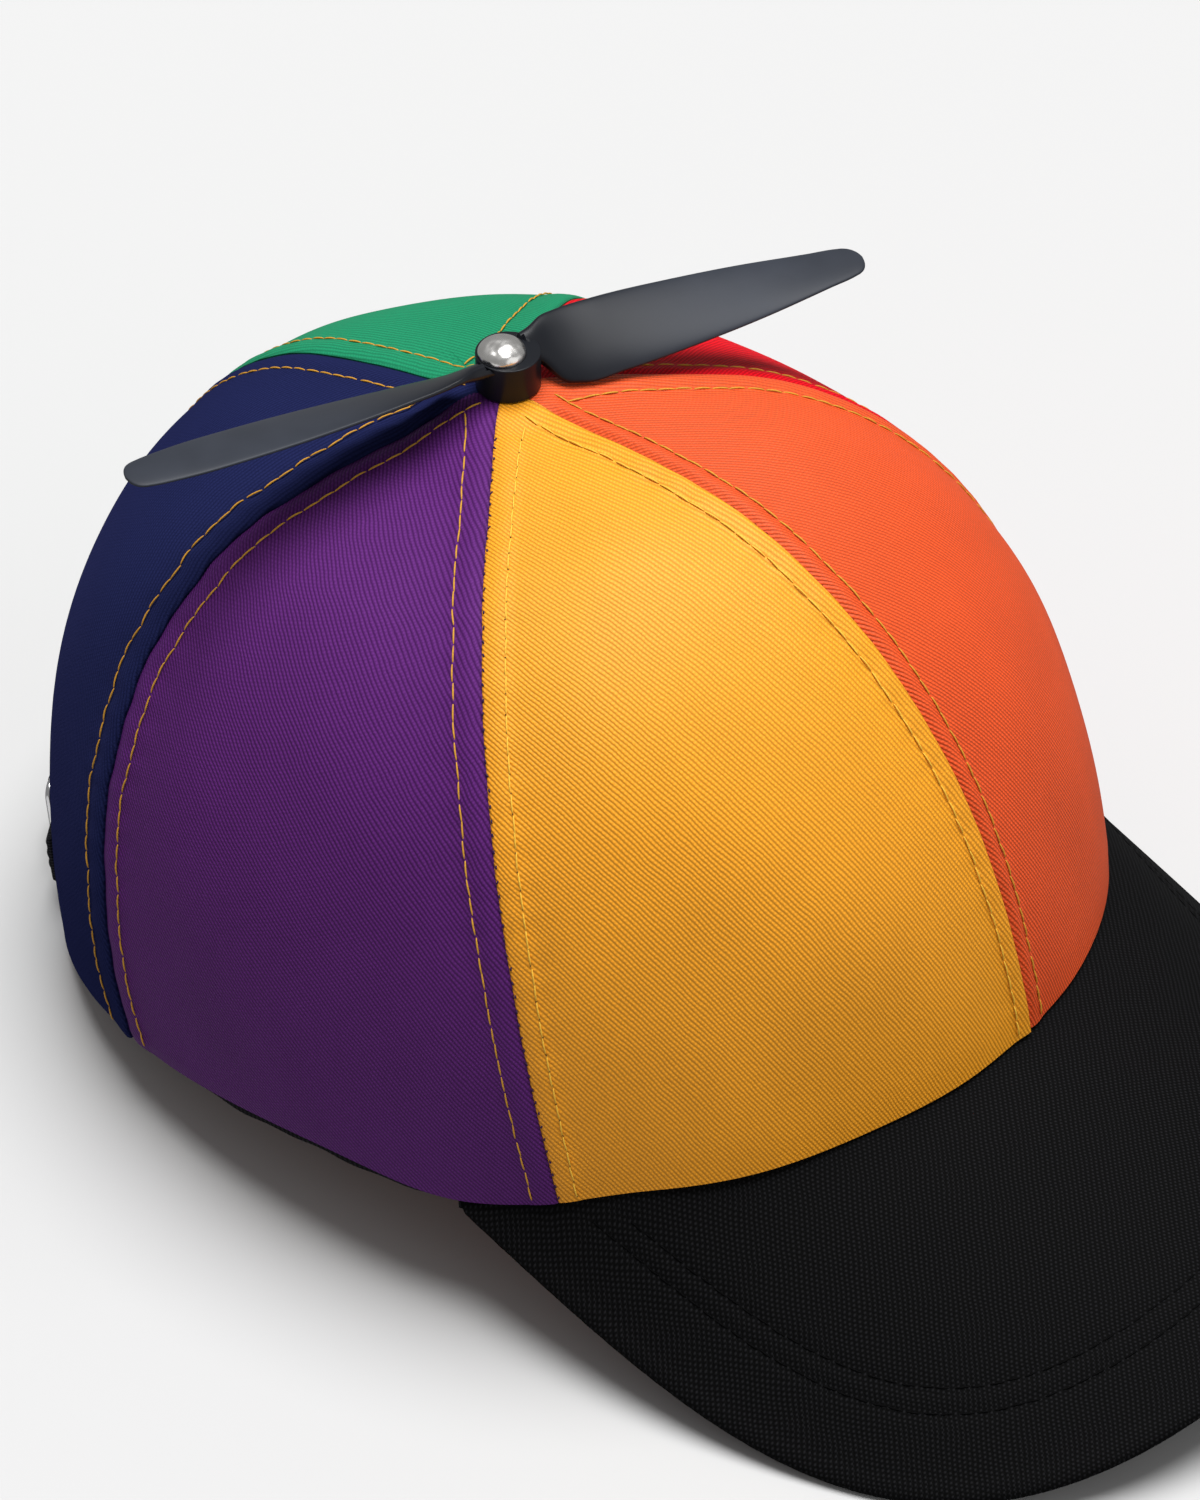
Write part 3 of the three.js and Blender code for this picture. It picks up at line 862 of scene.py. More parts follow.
    def wall_point(self, phi: Array, height: Array, offset: Array) -> Array:
        """Point at a height above the hem, set off outwards from the crown's face.

        Args:
            phi: angle round the head.
            height: height above the hem, or a drop below it where negative.
            offset: distance outwards.

        Returns:
            Points beside the wall.
        """
        phi, height, offset = np.broadcast_arrays(phi, height, offset)
        place = self.wall_place(phi, height)
        point = self.point(phi, place) + self.normal(phi, place) * offset[..., None]
        point[..., 2] += np.minimum(height, 0)
        return point

    def back_angle(self, distance: Array) -> Array:
        """Angle at a distance along the wall from the back seam, positive to the wearer's left."""
        return self.back_seam - distance / self.hem_radius(np.array(math.pi))

    def from_pin(self, points: Array) -> Array:
        """Level distance from the pin's axis."""
        return np.hypot(points[..., 0] - self.pin[0], points[..., 1] - self.pin[1])


FORM = CrownForm()


@dataclass
class Piece:
    """A closed mesh in the crown's millimetres, ready to become an object of the scene."""

    name: str
    points: Array
    quads: Array
    material: bpy.types.Material
    body: Body = Body.CAP
    slot: Optional[str] = None
    replaces: tuple[str, ...] = ()
    cloth: Optional[Array] = None
    sharp: float = math.radians(48)
    weld: float = 0.0

    @classmethod
    def wall(cls, node: str, name: str, faces: tuple[Array, Array], cloth: Array,
             material: bpy.types.Material, slot: str) -> "Piece":
        """Cloth wall that stands for a node.

        Args:
            node: the node it replaces.
            name: its own name.
            faces: grids of points of the outer and the inner face.
            cloth: cloth coordinates of that grid, the same on both faces.
            material: its material.
            slot: its slot in the record; kept on the piece but not used.

        Returns:
            The piece, closed round its rim.
        """
        return cls(name, np.stack(faces), wall_quads(*faces[0].shape[:2]), material, slot=slot,
                   replaces=(node,), cloth=np.stack([cloth, cloth]))

    def make(self) -> bpy.types.Object:
        """Put the arrays into a mesh at the origin, ride it on its body and hide the parts it replaces.

        Returns:
            The new object.
        """
        points = FORM.to_row(self.points.reshape(-1, 3))
        quads = outward(points, self.quads)
        mesh = bpy.data.meshes.new(self.name)
        mesh.vertices.add(len(points))
        mesh.vertices.foreach_set("co", points.astype(np.float32).ravel())
        mesh.loops.add(quads.size)
        mesh.loops.foreach_set("vertex_index", quads.astype(np.int32).ravel())
        mesh.polygons.add(len(quads))
        mesh.polygons.foreach_set("loop_start", np.arange(0, quads.size, 4, dtype=np.int32))
        mesh.update(calc_edges=True)
        if self.cloth is not None:
            attribute = mesh.attributes.new(CLOTH_ATTRIBUTE, "FLOAT_VECTOR", "POINT")
            attribute.data.foreach_set("vector", self.cloth.reshape(-1, 3).astype(np.float32).ravel())
        if self.weld:
            self.close_poles(mesh)
        mesh.polygons.foreach_set("use_smooth", np.ones(len(mesh.polygons), dtype=bool))
        mesh.set_sharp_from_angle(angle=self.sharp)
        mesh.materials.append(self.material)
        made = bpy.data.objects.new(self.name, mesh)
        bpy.context.scene.collection.objects.link(made)
        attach(made, self.body.value)
        if self.replaces:
            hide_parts(*self.replaces)
        LOG.info("%s: %d faces", self.name, len(mesh.polygons))
        return made

    def close_poles(self, mesh: bpy.types.Mesh) -> None:
        """Merge the vertices that meet at a pole, which leaves no empty face.

        Args:
            mesh: the mesh that is merged in place.
        """
        work = bmesh.new()
        work.from_mesh(mesh)
        bmesh.ops.remove_doubles(work, verts=work.verts, dist=self.weld * MM)
        work.to_mesh(mesh)
        work.free()


@dataclass(frozen=True)
class ThreadRun:
    """A row of stitches along a path, each a short thread that rises out of the cloth and back in."""

    pitch: float
    share: float = 0.99
    radius: float = 0.17
    rise: float = 0.22
    sink: float = 0.02
    wander: float = 0.08
    uneven: float = 0.06
    rings: int = 8
    sides: int = 6
    sharp: float = math.radians(80)

    def tubes(self, path: Array, normals: Array, seed: int) -> Array:
        """Stitches of a row.

        The path is cut into equal pitches, and each stitch is a tube of round rings whose radius and
        height follow roots of the sine of a half turn from one needle hole to the next.

        Args:
            path: points along the row.
            normals: outward directions at those points.
            seed: seed of the hand-like unevenness.

        Returns:
            Points of all stitches: stitch, ring, side and coordinate.
        """
        lengths = np.concatenate([[0], np.cumsum(np.linalg.norm(np.diff(path, axis=0), axis=1))])
        count = int(lengths[-1] / self.pitch)
        random = np.random.default_rng(seed)
        share = eased(self.rings)
        jitter = random.normal(0, self.uneven, count) * self.pitch
        stations = (np.arange(count) * self.pitch + jitter)[:, None] + share * self.pitch * self.share
        centre = self.sample(stations, lengths, path)
        normal = unit(self.sample(stations, lengths, normals))
        tangent = unit(self.sample(stations, lengths, np.gradient(path, lengths, axis=0)))
        aside = np.cross(normal, tangent)
        swell = np.sqrt(np.maximum(np.sin(math.pi * share), 0))
        drift = random.normal(0, self.wander, (count, 2)) @ np.stack([1 - share, share])
        height = self.rise * swell - self.sink
        centre = centre + normal * height[None, :, None] + aside * drift[..., None]
        girth = self.radius * np.sqrt(swell)[None, :, None, None]
        turn = around(self.sides)[:, None]
        ring = np.cos(turn) * aside[..., None, :] + np.sin(turn) * normal[..., None, :]
        return centre[..., None, :] + girth * ring

    @staticmethod
    def sample(stations: Array, lengths: Array, values: Array) -> Array:
        """Values along the path at the stations' lengths."""
        columns = [np.interp(stations.ravel(), lengths, values[:, axis]) for axis in range(3)]
        return np.stack(columns, axis=-1).reshape(*stations.shape, 3)

    def piece(self, name: str, tubes: Sequence[Array], material: bpy.types.Material) -> Piece:
        """One piece that holds the stitches of several rows.

        Args:
            name: the piece's name.
            tubes: the stitches of each row.
            material: the thread's material.

        Returns:
            The piece, not yet made.
        """
        points = np.concatenate(list(tubes))
        count = len(points)
        one = grid_quads(self.rings, self.sides, round_columns=True)
        starts = np.arange(count) * self.rings * self.sides
        quads = (one[None] + starts[:, None, None]).reshape(-1, 4)
        return Piece(name, points, quads, material, weld=WELD, sharp=self.sharp)


@dataclass(frozen=True)
class Panel:
    """One crown panel: the seams it lies between, and its cloth, named as its slot in the record is."""

    name: str
    start: str
    finish: str
    twill: TwillFinish


@dataclass
class Crown:
    """Six sewn panels with felled seams, topstitching and a back opening."""

    rows: int = 124
    columns: int = 76
    side_columns: int = 30
    arch_columns: int = 48
    tip_crowding: float = 1.35
    pin_hole: float = 3.2
    opening_height: float = 46.0
    opening_roundness: float = 2.3
    stitch_pitch: float = 3.3
    row_foot: float = 1.0
    row_end: float = 7.6
    bite_pitch: float = 2.55
    bite_offset: float = 0.35
    bite_end: float = 9.0
    path_points: int = 400
    allowance: float = 0.3
    allowance_fall: tuple[float, float] = (-0.2, 1.6)
    edge_width: float = 0.9
    edge_depth: float = 0.1
    roll_per_lap: float = 0.7
    lap_over: float = 0.8
    lap_start: float = 0.2
    sunk_share: float = 0.8
    sunk_reach: float = 0.5
    butted: float = -0.02
    groove_depth: float = 0.12
    groove_width: float = 0.6
    pucker_pitch: float = 7.3
    pucker_depth: float = 0.05
    pucker_per_waver: float = 0.4
    pucker_width: float = 3.5
    pucker_stray: float = 1.7
    pucker_stray_length: float = 9.0
    bulge: float = 0.45
    bulge_lengths: tuple[float, float] = (9.5, 13.0)
    swell: float = 0.3
    swell_lengths: tuple[float, float] = (21.0, 17.0)
    uneven_within: tuple[float, float] = (3.0, 22.0)
    hem_flare: float = 0.45
    hem_flare_reach: float = 2.0
    hem_roll_width: float = 0.8
    hem_roll_depth: float = 0.6
    hem_ease: float = 8.0
    row_drift: float = 1.5
    hub_sweep: float = 7.0
    hub_ease: float = 6.0
    blade_room: float = 0.75
    blade_clear: tuple[float, float] = (32.0, 52.0)
    arch_clear: float = 2.0
    arch_stitch: float = 4.5
    arch_stitch_rise: float = 0.1
    arch_end: float = 0.03
    arch_points: int = 300

    def __post_init__(self) -> None:
        """Lay out the seams and the panels between them."""
        self.seams = {
            "front": Seam(math.radians(0.2), math.radians(1.2), 0.4, rows=(3.9, 4.6), puffs=(0.08, 0.5)),
            "left_front": Seam(math.radians(55.9), lap=0.3),
            "left_back": Seam(math.radians(118.9), lap=-0.2),
            "back": Seam(FORM.back_seam, lap=0.2),
            "right_back": Seam(math.radians(-122.6), lap=0.4, waver=0.2),
            "right_front": Seam(math.radians(-57.5), lap=0.1, rows=(5.4, 4.4), puffs=(0.2, 0.08)),
        }
        self.panels = (
            Panel("panel_front_left", "front", "left_front", TwillFinish(
                "orange_twill", linear(0xD54814), 70.0, gloss=0.5, gloss_tint=(1.0, 0.8, 0.6),
                lustre=0.15, shade_depth=0.36, wale_depth=0.16)),
            Panel("panel_side_left", "left_front", "left_back", TwillFinish(
                "red_twill", linear(0xCC0418), 62.0, gloss=0.08)),
            Panel("panel_back_left", "left_back", "back", TwillFinish(
                "green_twill", linear(0x157B55), 62.0, gloss=0.1, nap=0.34)),
            Panel("panel_back_right", "back", "right_back", TwillFinish(
                "navy_twill", linear(0x191E43), 62.0, gloss=0.0, gloss_tint=(0.22, 0.22, 0.62),
                fuzz=0.05, nap=0.42)),
            Panel("panel_side_right", "right_back", "right_front", TwillFinish(
                "purple_twill", linear(0x501E63), 46.0, gloss=0.22, gloss_tint=(0.75, 0.25, 1.0),
                lustre=0.12, shade_depth=0.4)),
            Panel("panel_front_right", "right_front", "front", TwillFinish(
                "yellow_twill", linear(0xE49409), 60.0, gloss=0.4, gloss_tint=(1.0, 0.95, 0.8),
                lustre=0.35)),
        )

    def layout(self, panel: Panel, width: float) -> tuple[Array, Array]:
        """Columns of a panel: shares from seam to seam, and the height of each foot above the hem.

        Beside the back seam the feet follow the opening, a superellipse arch cut up from the hem.

        Args:
            panel: the panel.
            width: the panel's width along the hem, for a panel beside the back seam.

        Returns:
            Shares and foot heights.
        """
        if "back" not in (panel.start, panel.finish):
            share = crowded(self.columns)
            return share, np.zeros_like(share)
        corner = 1 - FORM.opening_width / 2 / width
        turn = np.linspace(0, math.pi / 2, self.arch_columns)
        across = np.maximum(np.cos(turn), 0) ** (2 / self.opening_roundness)
        up = self.opening_height * np.sin(turn) ** (2 / self.opening_roundness)
        side = crowded(self.side_columns)[:-1] * corner
        share = np.concatenate([side, 1 - (1 - corner) * across])
        foot = np.concatenate([np.zeros_like(side), up])
        return (share, foot) if panel.finish == "back" else (1 - share[::-1], foot[::-1])

    def seam_relief(self, seam: Seam, side: SeamSide, away: Array, along: Array) -> Array:
        """Relief of a sewn edge at a distance from the seam.

        A turned edge rolls down at the seam, its allowance lifts and puffs the cloth as far as the
        topstitching, the thread pulls a groove, the cloth puckers between the stitches, and a lapped
        edge stands over its neighbour while the other edge sinks under it.

        Args:
            seam: the seam.
            side: the panel's side of it.
            away: distance from the seam.
            along: distance along the seam from the hem.

        Returns:
            Relief in millimetres.
        """
        lap, row = seam.lap_on(side), seam.row(side)
        step = lap if lap > 0 else self.sunk_share * lap
        reach = row if lap > 0 else self.sunk_reach * row
        fall_from, fall_to = self.allowance_fall
        raised = self.allowance * (1 - smoothstep(away, row + fall_from, row + fall_to))
        lifted = step * (1 - smoothstep(away, self.lap_start, reach))
        above_hem = smoothstep(along, 0, self.hem_ease)
        puffed = seam.puff(side) * above_hem * np.sin(math.pi * np.clip(away / row, 0, 1)) ** 2
        groove = self.groove_depth * bell(away - row, self.groove_width)
        stray = self.pucker_stray * np.sin(along / self.pucker_stray_length)
        wobble = np.sin(TAU * along / self.pucker_pitch + stray + 3 * seam.angle)
        pucker_depth = self.pucker_depth + self.pucker_per_waver * seam.waver
        pucker = pucker_depth * wobble * bell(away - row, self.pucker_width)
        turned = edge_roll(away, self.edge_width, self.edge_depth + self.roll_per_lap * abs(lap))
        return raised + lifted + puffed - groove + pucker - turned

    def settle(self, away: Array) -> Array:
        """Share of the relief kept near the pin, where the hub and the blades sweep over the cloth."""
        return smoothstep(away, self.hub_sweep, self.hub_sweep + self.hub_ease)

    def blade_drop(self, away: Array) -> Array:
        """Drop of the cloth under the blades' inner half, so that they turn clear of the stitches."""
        return self.blade_room * (self.settle(away) - smoothstep(away, *self.blade_clear))

    def overlap(self, seam: Seam, side: SeamSide, u: Array) -> Array:
        """How far an edge runs past the seam line: a lapped edge covers its neighbour, and both drift.

        Args:
            seam: the seam.
            side: the panel's side of it.
            u: place up the crown.

        Returns:
            Distances in millimetres, positive past the seam.
        """
        lap = seam.lap_on(side)
        past = self.lap_over * lap if lap > 0 else self.butted
        return past - side.value * seam.drift(u)

    def unevenness(self, across: Array, from_tip: Array, phase: float) -> Array:
        """Slow bulges and swells of the cloth: a product of two sines and one slanting sine.

        Args:
            across: distance across the panel.
            from_tip: distance down from its tip.
            phase: phase that sets the panel apart from the others.

        Returns:
            Relief in millimetres.
        """
        wide, tall = self.bulge_lengths
        bulges = np.sin(across / wide + 1.3 + phase) * np.sin(from_tip / tall + 2.1 * phase)
        wide, tall = self.swell_lengths
        return self.bulge * bulges + self.swell * np.sin(across / wide - from_tip / tall + phase)

    def surface(self, panel: Panel) -> tuple[Array, Array, Array]:
        """Faces of a panel and its cloth coordinates.

        Each column runs up the crown from its foot to the hole for the pin, at a share of the angle
        between the two seams, and is set off along the normal by the relief of both sewn edges, the
        turned foot and a slow unevenness.

        Args:
            panel: the panel.

        Returns:
            Outer points, inner points and cloth coordinates, each by row and column.
        """
        start, finish = self.seams[panel.start], self.seams[panel.finish]
        turn = 0 if finish.angle > start.angle else TAU
        span = finish.angle + turn - start.angle
        share, foot = self.layout(panel, float(FORM.hem_radius(np.array(math.pi))) * span)
        column_phi = start.angle + span * share
        low = FORM.wall_place(column_phi, foot)
        high = FORM.tip_place(column_phi, self.pin_hole)
        climb = 1 - (1 - np.linspace(0, 1, self.rows)) ** self.tip_crowding
        u = low + (high - low) * climb[:, None]
        start_away = FORM.from_pin(FORM.point(np.array(start.angle), u))
        finish_away = FORM.from_pin(FORM.point(np.array(finish.angle), u))
        begin = start.at(u) - self.overlap(start, SeamSide.AFTER, u) / start_away
        end = finish.at(u) + turn + self.overlap(finish, SeamSide.BEFORE, u) / finish_away
        phi = begin + (end - begin) * share
        base, normal = FORM.point(phi, u), FORM.normal(phi, u)
        away = FORM.from_pin(base)
        steps = np.linalg.norm(np.diff(base, axis=0), axis=-1)
        along = np.concatenate([np.zeros((1, len(share))), np.cumsum(steps, axis=0)])
        from_start, from_finish = (phi - begin) * away, (end - phi) * away
        edge = np.minimum(from_start, from_finish)
        across = (share - 0.5) * (end - begin) * away
        from_tip = along - along[-1]
        sewn = self.seam_relief(start, SeamSide.AFTER, from_start, along)
        sewn = sewn + self.seam_relief(finish, SeamSide.BEFORE, from_finish, along)
        slow = self.unevenness(across, from_tip, start.angle) * smoothstep(edge, *self.uneven_within)
        flare = self.hem_flare * np.exp(-along / self.hem_flare_reach)
        relief = sewn + slow + flare - edge_roll(along, self.hem_roll_width, self.hem_roll_depth)
        relief = relief * self.settle(away) - self.blade_drop(away)
        outer = FORM.on_table(base + normal * relief[..., None])
        inner = FORM.on_table(base + normal * (relief - FORM.cloth)[..., None])
        return outer, inner, np.stack([across, from_tip, edge], axis=-1)

    def stitch_path(self, seam: Seam, side: SeamSide, offset: float,
                    nearest: float) -> tuple[Array, Array]:
        """Path beside a seam: its angle turned by the arcsine of offset over the distance from the pin.

        Args:
            seam: the seam.
            side: the side the path lies on.
            offset: distance from the seam.
            nearest: distance from the pin at which the path ends.

        Returns:
            Points and normals from hem to pin.
        """
        at_back = seam is self.seams["back"]
        foot = self.opening_height + self.arch_clear if at_back else self.row_foot
        low = FORM.wall_place(np.array(seam.angle), np.array(foot))
        high = FORM.tip_place(np.array(seam.angle), nearest)
        u = np.linspace(float(low), float(high), self.path_points)
        away = np.maximum(FORM.from_pin(FORM.point(seam.at(u), u)), 1.0)
        drift = seam.drift(u)
        follow = self.row_drift if side is SeamSide.BEFORE else 1
        lateral = offset + follow * side.value * drift
        phi = seam.at(u) + side.value * np.arcsin(np.minimum(lateral / away, 1))
        base, normal = FORM.point(phi, u), FORM.normal(phi, u)
        away = FORM.from_pin(base)
        from_edge = lateral - side.value * drift
        height = self.seam_relief(seam, side, from_edge, np.full_like(u, self.hem_ease))
        height = height * self.settle(away) - self.blade_drop(away)
        return base + normal * height[:, None], normal

    def panel_beside(self, seam_name: str, side: SeamSide) -> Panel:
        """The panel that lies on one side of a seam.

        Args:
            seam_name: name of the seam.
            side: side of the seam.

        Returns:
            The panel.
        """
        return next(
            panel for panel in self.panels
            if (panel.finish if side is SeamSide.BEFORE else panel.start) == seam_name
        )

    def arch_path(self) -> tuple[Array, Array]:
        """Path round the back opening at the stitching's distance: the arch grown by that distance.

        Returns:
            Points and normals from one foot of the arch to the other.
        """
        turn = np.linspace(self.arch_end, math.pi - self.arch_end, self.arch_points)
        power = 2 / self.opening_roundness
        across = (FORM.opening_width / 2 + self.arch_stitch) * squared(np.cos(turn), power)
        up = (self.opening_height + self.arch_stitch) * np.sin(turn) ** power
        phi = FORM.back_angle(across)
        path = FORM.wall_point(phi, up, np.full_like(up, self.arch_stitch_rise))
        return path, FORM.normal(phi, FORM.wall_place(phi, up))

    def build(self) -> None:
        """Make the panels, the topstitching, and the seam stitches that show between the panels."""
        for panel in self.panels:
            outer, inner, cloth = self.surface(panel)
            Piece.wall(panel.name, panel.name + "_twill", (outer, inner), cloth, panel.twill.dress(),
                       panel.twill.name).make()
        self.stitch()

    def stitch(self) -> None:
        """Gold rows beside the seams, olive ones on yellow, needle holes, and dark bites on two seams."""
        gold = ThreadFinish("gold_thread", linear(0xA8741A), linear(0xE0A636))
        olive = ThreadFinish("olive_thread", linear(0xDAA024), linear(0xF4C84C))
        run = ThreadRun(self.stitch_pitch)
        rows: dict[str, list[Array]] = {"gold": [], "olive": []}
        for number, (name, seam) in enumerate(self.seams.items()):
            for side in SeamSide:
                path, normal = self.stitch_path(seam, side, seam.row(side), self.row_end)
                tone = "olive" if self.panel_beside(name, side).name == "panel_front_right" else "gold"
                rows[tone].append(run.tubes(path, normal, 10 * number + side.value + 1))
        rows["gold"].append(run.tubes(*self.arch_path(), Seed.ARCH.value))
        run.piece("topstitching_gold", rows["gold"], gold.dress()).make()
        run.piece("topstitching_olive", rows["olive"], olive.dress()).make()
        hole = ThreadRun(self.stitch_pitch, share=0.1, radius=0.13, rise=0.1, sink=0.0, wander=0.06)
        start = self.seams["right_front"]
        path, normal = self.stitch_path(start, SeamSide.AFTER, start.row(SeamSide.AFTER), self.bite_end)
        holes = hole.tubes(path, normal, Seed.HOLES.value)
        shade = ThreadFinish("needle_hole_shade", linear(0x4A3208), linear(0x5E420A))
        hole.piece("needle_holes", [holes], shade.dress()).make()
        bite = ThreadRun(self.bite_pitch, share=0.28, radius=0.17, rise=0.26, sink=0.1, wander=0.16)
        for number, (name, colour) in enumerate((("right_front", 0x2A0D3A), ("front", 0x7A1408))):
            seam = self.seams[name]
            path, normal = self.stitch_path(seam, SeamSide.AFTER, self.bite_offset, self.bite_end)
            thread = ThreadFinish(f"seam_thread_{name}", linear(colour), linear(colour))
            bites = bite.tubes(path, normal, Seed.BITES.value + number)
            bite.piece(f"seam_bites_{name}", [bites], thread.dress()).make()


@dataclass
class Peak:
    """Stiff cloth-covered peak: a sloped, arched sheet with a superellipse outline and a round edge."""

    end: float = math.radians(71.6)
    half_width: float = 79.8
    reach: float = 128.5
    slope: float = 0.375
    arch: float = 40.7
    side_power: float = 2.18
    nose_power: float = 3.61
    thick: float = 2.8
    tuck: float = 1.2
    span: float = 0.975
    crowding: float = 1.8
    fan: float = 0.75
    seated_share: float = 0.4
    columns: int = 220
    rows: int = 60
    edge_crowding: float = 1.7
    edge_samples: int = 1600
    edge_blocks: int = 64
    stitch_rows: tuple[float, ...] = (15.2, 19.6)
    stitch_pitch: float = 3.0
    stitch_clear: float = 2.0
    groove_depth: float = 0.3
    groove_width: float = 0.9
    bead_place: float = 2.6
    bead_height: float = 0.14
    bead_width: float = 1.1
    relief_within: tuple[float, float] = (0.04, 0.1)

    def sheet_height(self, x: Array, y: Array) -> Array:
        """Sheet falling along the nose by its slope and to the sides by the square of the width."""
        brow = FORM.point(np.array(0.0), np.array(0.0))
        return brow[2] - FORM.gap - self.slope * (brow[1] - y) - self.arch * (x / self.half_width) ** 2

    def top(self, side: Array, across: Array) -> Array:
        """Top face from the hem (across = 0) to the free edge (across = 1), at a place along them.

        Args:
            side: place along the edge, from -1 to 1 with 0 at the nose.
            across: share of the way from the hem to the free edge.

        Returns:
            Points of the top face.
        """
        side, across = np.broadcast_arrays(side, across)
        spread, hand = np.abs(side), np.sign(side)
        turn = math.pi / 2 * (1 - (1 - spread) ** self.crowding)
        phi = self.end * hand * spread ** self.fan
        inner = FORM.wall_point(phi, np.zeros_like(side), np.full_like(side, -self.tuck))
        ends = FORM.point(np.array(self.end), np.array(0.0))[1]
        edge_x = self.half_width * hand * np.sin(turn) ** (2 / self.side_power)
        edge_y = ends - self.reach * np.cos(turn) ** (2 / self.nose_power)
        x = inner[..., 0] + (edge_x - inner[..., 0]) * across
        y = inner[..., 1] + (edge_y - inner[..., 1]) * across
        fit = inner[..., 2] - FORM.gap - self.sheet_height(inner[..., 0], inner[..., 1])
        return np.stack([x, y, self.sheet_height(x, y) + fit * (1 - across) ** 2], axis=-1)

    def down(self, side: Array, across: Array) -> Array:
        """Way through the thickness: straight down under the hem, square to the sheet further out.

        Args:
            side: place along the edge.
            across: share of the way from the hem to the free edge.

        Returns:
            Unit vectors.
        """
        along = self.top(side + SLOPE_STEP, across) - self.top(side - SLOPE_STEP, across)
        out = self.top(side, across + SLOPE_STEP) - self.top(side, across - SLOPE_STEP)
        square = unit(np.cross(out, along))
        square = square * -np.sign(square[..., 2:])
        seated = 1 - smoothstep(across, 0, self.seated_share)[..., None]
        return unit(square * (1 - seated) + np.array([0, 0, -1.0]) * seated)

    def edge_distance(self, points: Array) -> Array:
        """Distance of points from the free edge, as the nearest of many points on it.

        Args:
            points: points on the peak.

        Returns:
            One distance for each point.
        """
        along = np.linspace(-self.span, self.span, self.edge_samples)
        edge = self.top(along, np.ones_like(along))
        blocks = np.array_split(points.reshape(-1, 3), self.edge_blocks)
        nearest = [np.linalg.norm(block[:, None] - edge, axis=-1).min(axis=1) for block in blocks]
        return np.concatenate(nearest).reshape(points.shape[:-1])

    def build(self) -> None:
        """Make the covered peak, its cloth laid at 45 degrees, and its two tonal rows of stitches."""
        side = np.linspace(-self.span, self.span, self.columns)[None]
        across = 1 - (1 - np.linspace(0, 1, self.rows)[:, None]) ** self.edge_crowding
        side, across = np.broadcast_arrays(side, across)
        top, down = self.top(side, across), self.down(side, across)
        edge = self.edge_distance(top)
        relief = sum(self.groove_depth * bell(edge - row, self.groove_width) for row in self.stitch_rows)
        relief = relief - self.bead_height * bell(edge - self.bead_place, self.bead_width)
        half = self.thick / 2
        roll = edge_roll(edge, half, half)
        outer = top + down * (roll + relief * smoothstep(across, *self.relief_within))[..., None]
        inner = top + down * (self.thick - roll)[..., None]
        outer, inner = FORM.on_table(outer), FORM.on_table(inner)
        x, y = top[..., 0], top[..., 1]
        cloth = np.stack([(x - y) / math.sqrt(2), (x + y) / math.sqrt(2), edge], axis=-1)
        weave = RibbedWeaveFinish("black_peak_cloth", linear(0x020202), linear(0x1B1B1D))
        Piece.wall("peak", "peak_cover", (outer, inner), cloth, weave.dress(), "black_cloth").make()
        self.stitch(side, across, edge)

    def stitch(self, side: Array, across: Array, edge: Array) -> None:
        """Rows of black stitches at set distances from the free edge.

        Args:
            side: places along the edge, as the cover's grid has them.
            across: shares of the way to the free edge on that grid.
            edge: distances from the free edge on that grid.
        """
        run = ThreadRun(self.stitch_pitch, share=0.92, radius=0.17, rise=0.26, sink=0.12)
        thread = ThreadFinish("black_thread", linear(0x020202), linear(0x0C0C0D), gloss=0.02)
        tubes = []
        for number, row in enumerate(self.stitch_rows):
            reaching = np.flatnonzero(edge[0] > row + self.stitch_clear)
            found = [np.interp(row, edge[::-1, column], across[::-1, column]) for column in reaching]
            place, share = side[0][reaching], np.array(found)
            down = self.down(place, share)
            path = self.top(place, share) + down * self.groove_depth
            tubes.append(run.tubes(path, -down, Seed.PEAK.value + number))
        run.piece("peak_stitching", tubes, thread.dress()).make()


@dataclass
class Sweatband:
    """Folded cotton band inside the hem, a little of it showing below the panels, open at the back."""

    height: float = 30.0
    drop: float = 1.3
    side_drop: float = 2.7
    side_angle: float = math.radians(90)
    side_spread: float = math.radians(32)
    thick: float = 1.2
    slow_waver: float = 0.28
    slow_waves: int = 17
    quick_waver: float = 0.2
    quick_waves: int = 41
    gap: float = 0.6
    cloth_radius: float = 90.0
    columns: int = 300
    rows: int = 22

    def build(self) -> None:
        """A strip of the crown's wall set inside the panels, with a wavering foot and rolled edges."""
        half = FORM.opening_width / 2
        start = float(FORM.back_angle(np.array(-half))) - TAU
        finish = float(FORM.back_angle(np.array(half)))
        phi = np.linspace(start, finish, self.columns)[None]
        share = eased(self.rows)[:, None]
        hang = self.drop + self.side_drop * bell(np.abs(phi) - self.side_angle, self.side_spread)
        hang = hang + self.slow_waver * np.sin(phi * self.slow_waves + 1)
        hang = hang + self.quick_waver * np.sin(phi * self.quick_waves)
        height = -hang + (self.height + hang) * share
        phi, height = np.broadcast_arrays(phi, height)
        span = self.height + self.drop
        roll = edge_roll(np.minimum(share, 1 - share) * span, self.thick / 2, self.thick / 2)
        roll = np.broadcast_to(roll, phi.shape)
        outside = -FORM.cloth - self.gap
        outer = FORM.on_table(FORM.wall_point(phi, height, outside - roll))
        inner = FORM.on_table(FORM.wall_point(phi, height, outside - self.thick + roll))
        cloth = np.stack([phi * self.cloth_radius, height, height], axis=-1)
        weave = RibbedWeaveFinish("black_band_cloth", linear(0x08080A), linear(0x2A2A2E), rib_pitch=1.1)
        Piece.wall("sweatband", "sweatband_cloth", (outer, inner), cloth, weave.dress(),
                   "black_cloth").make()


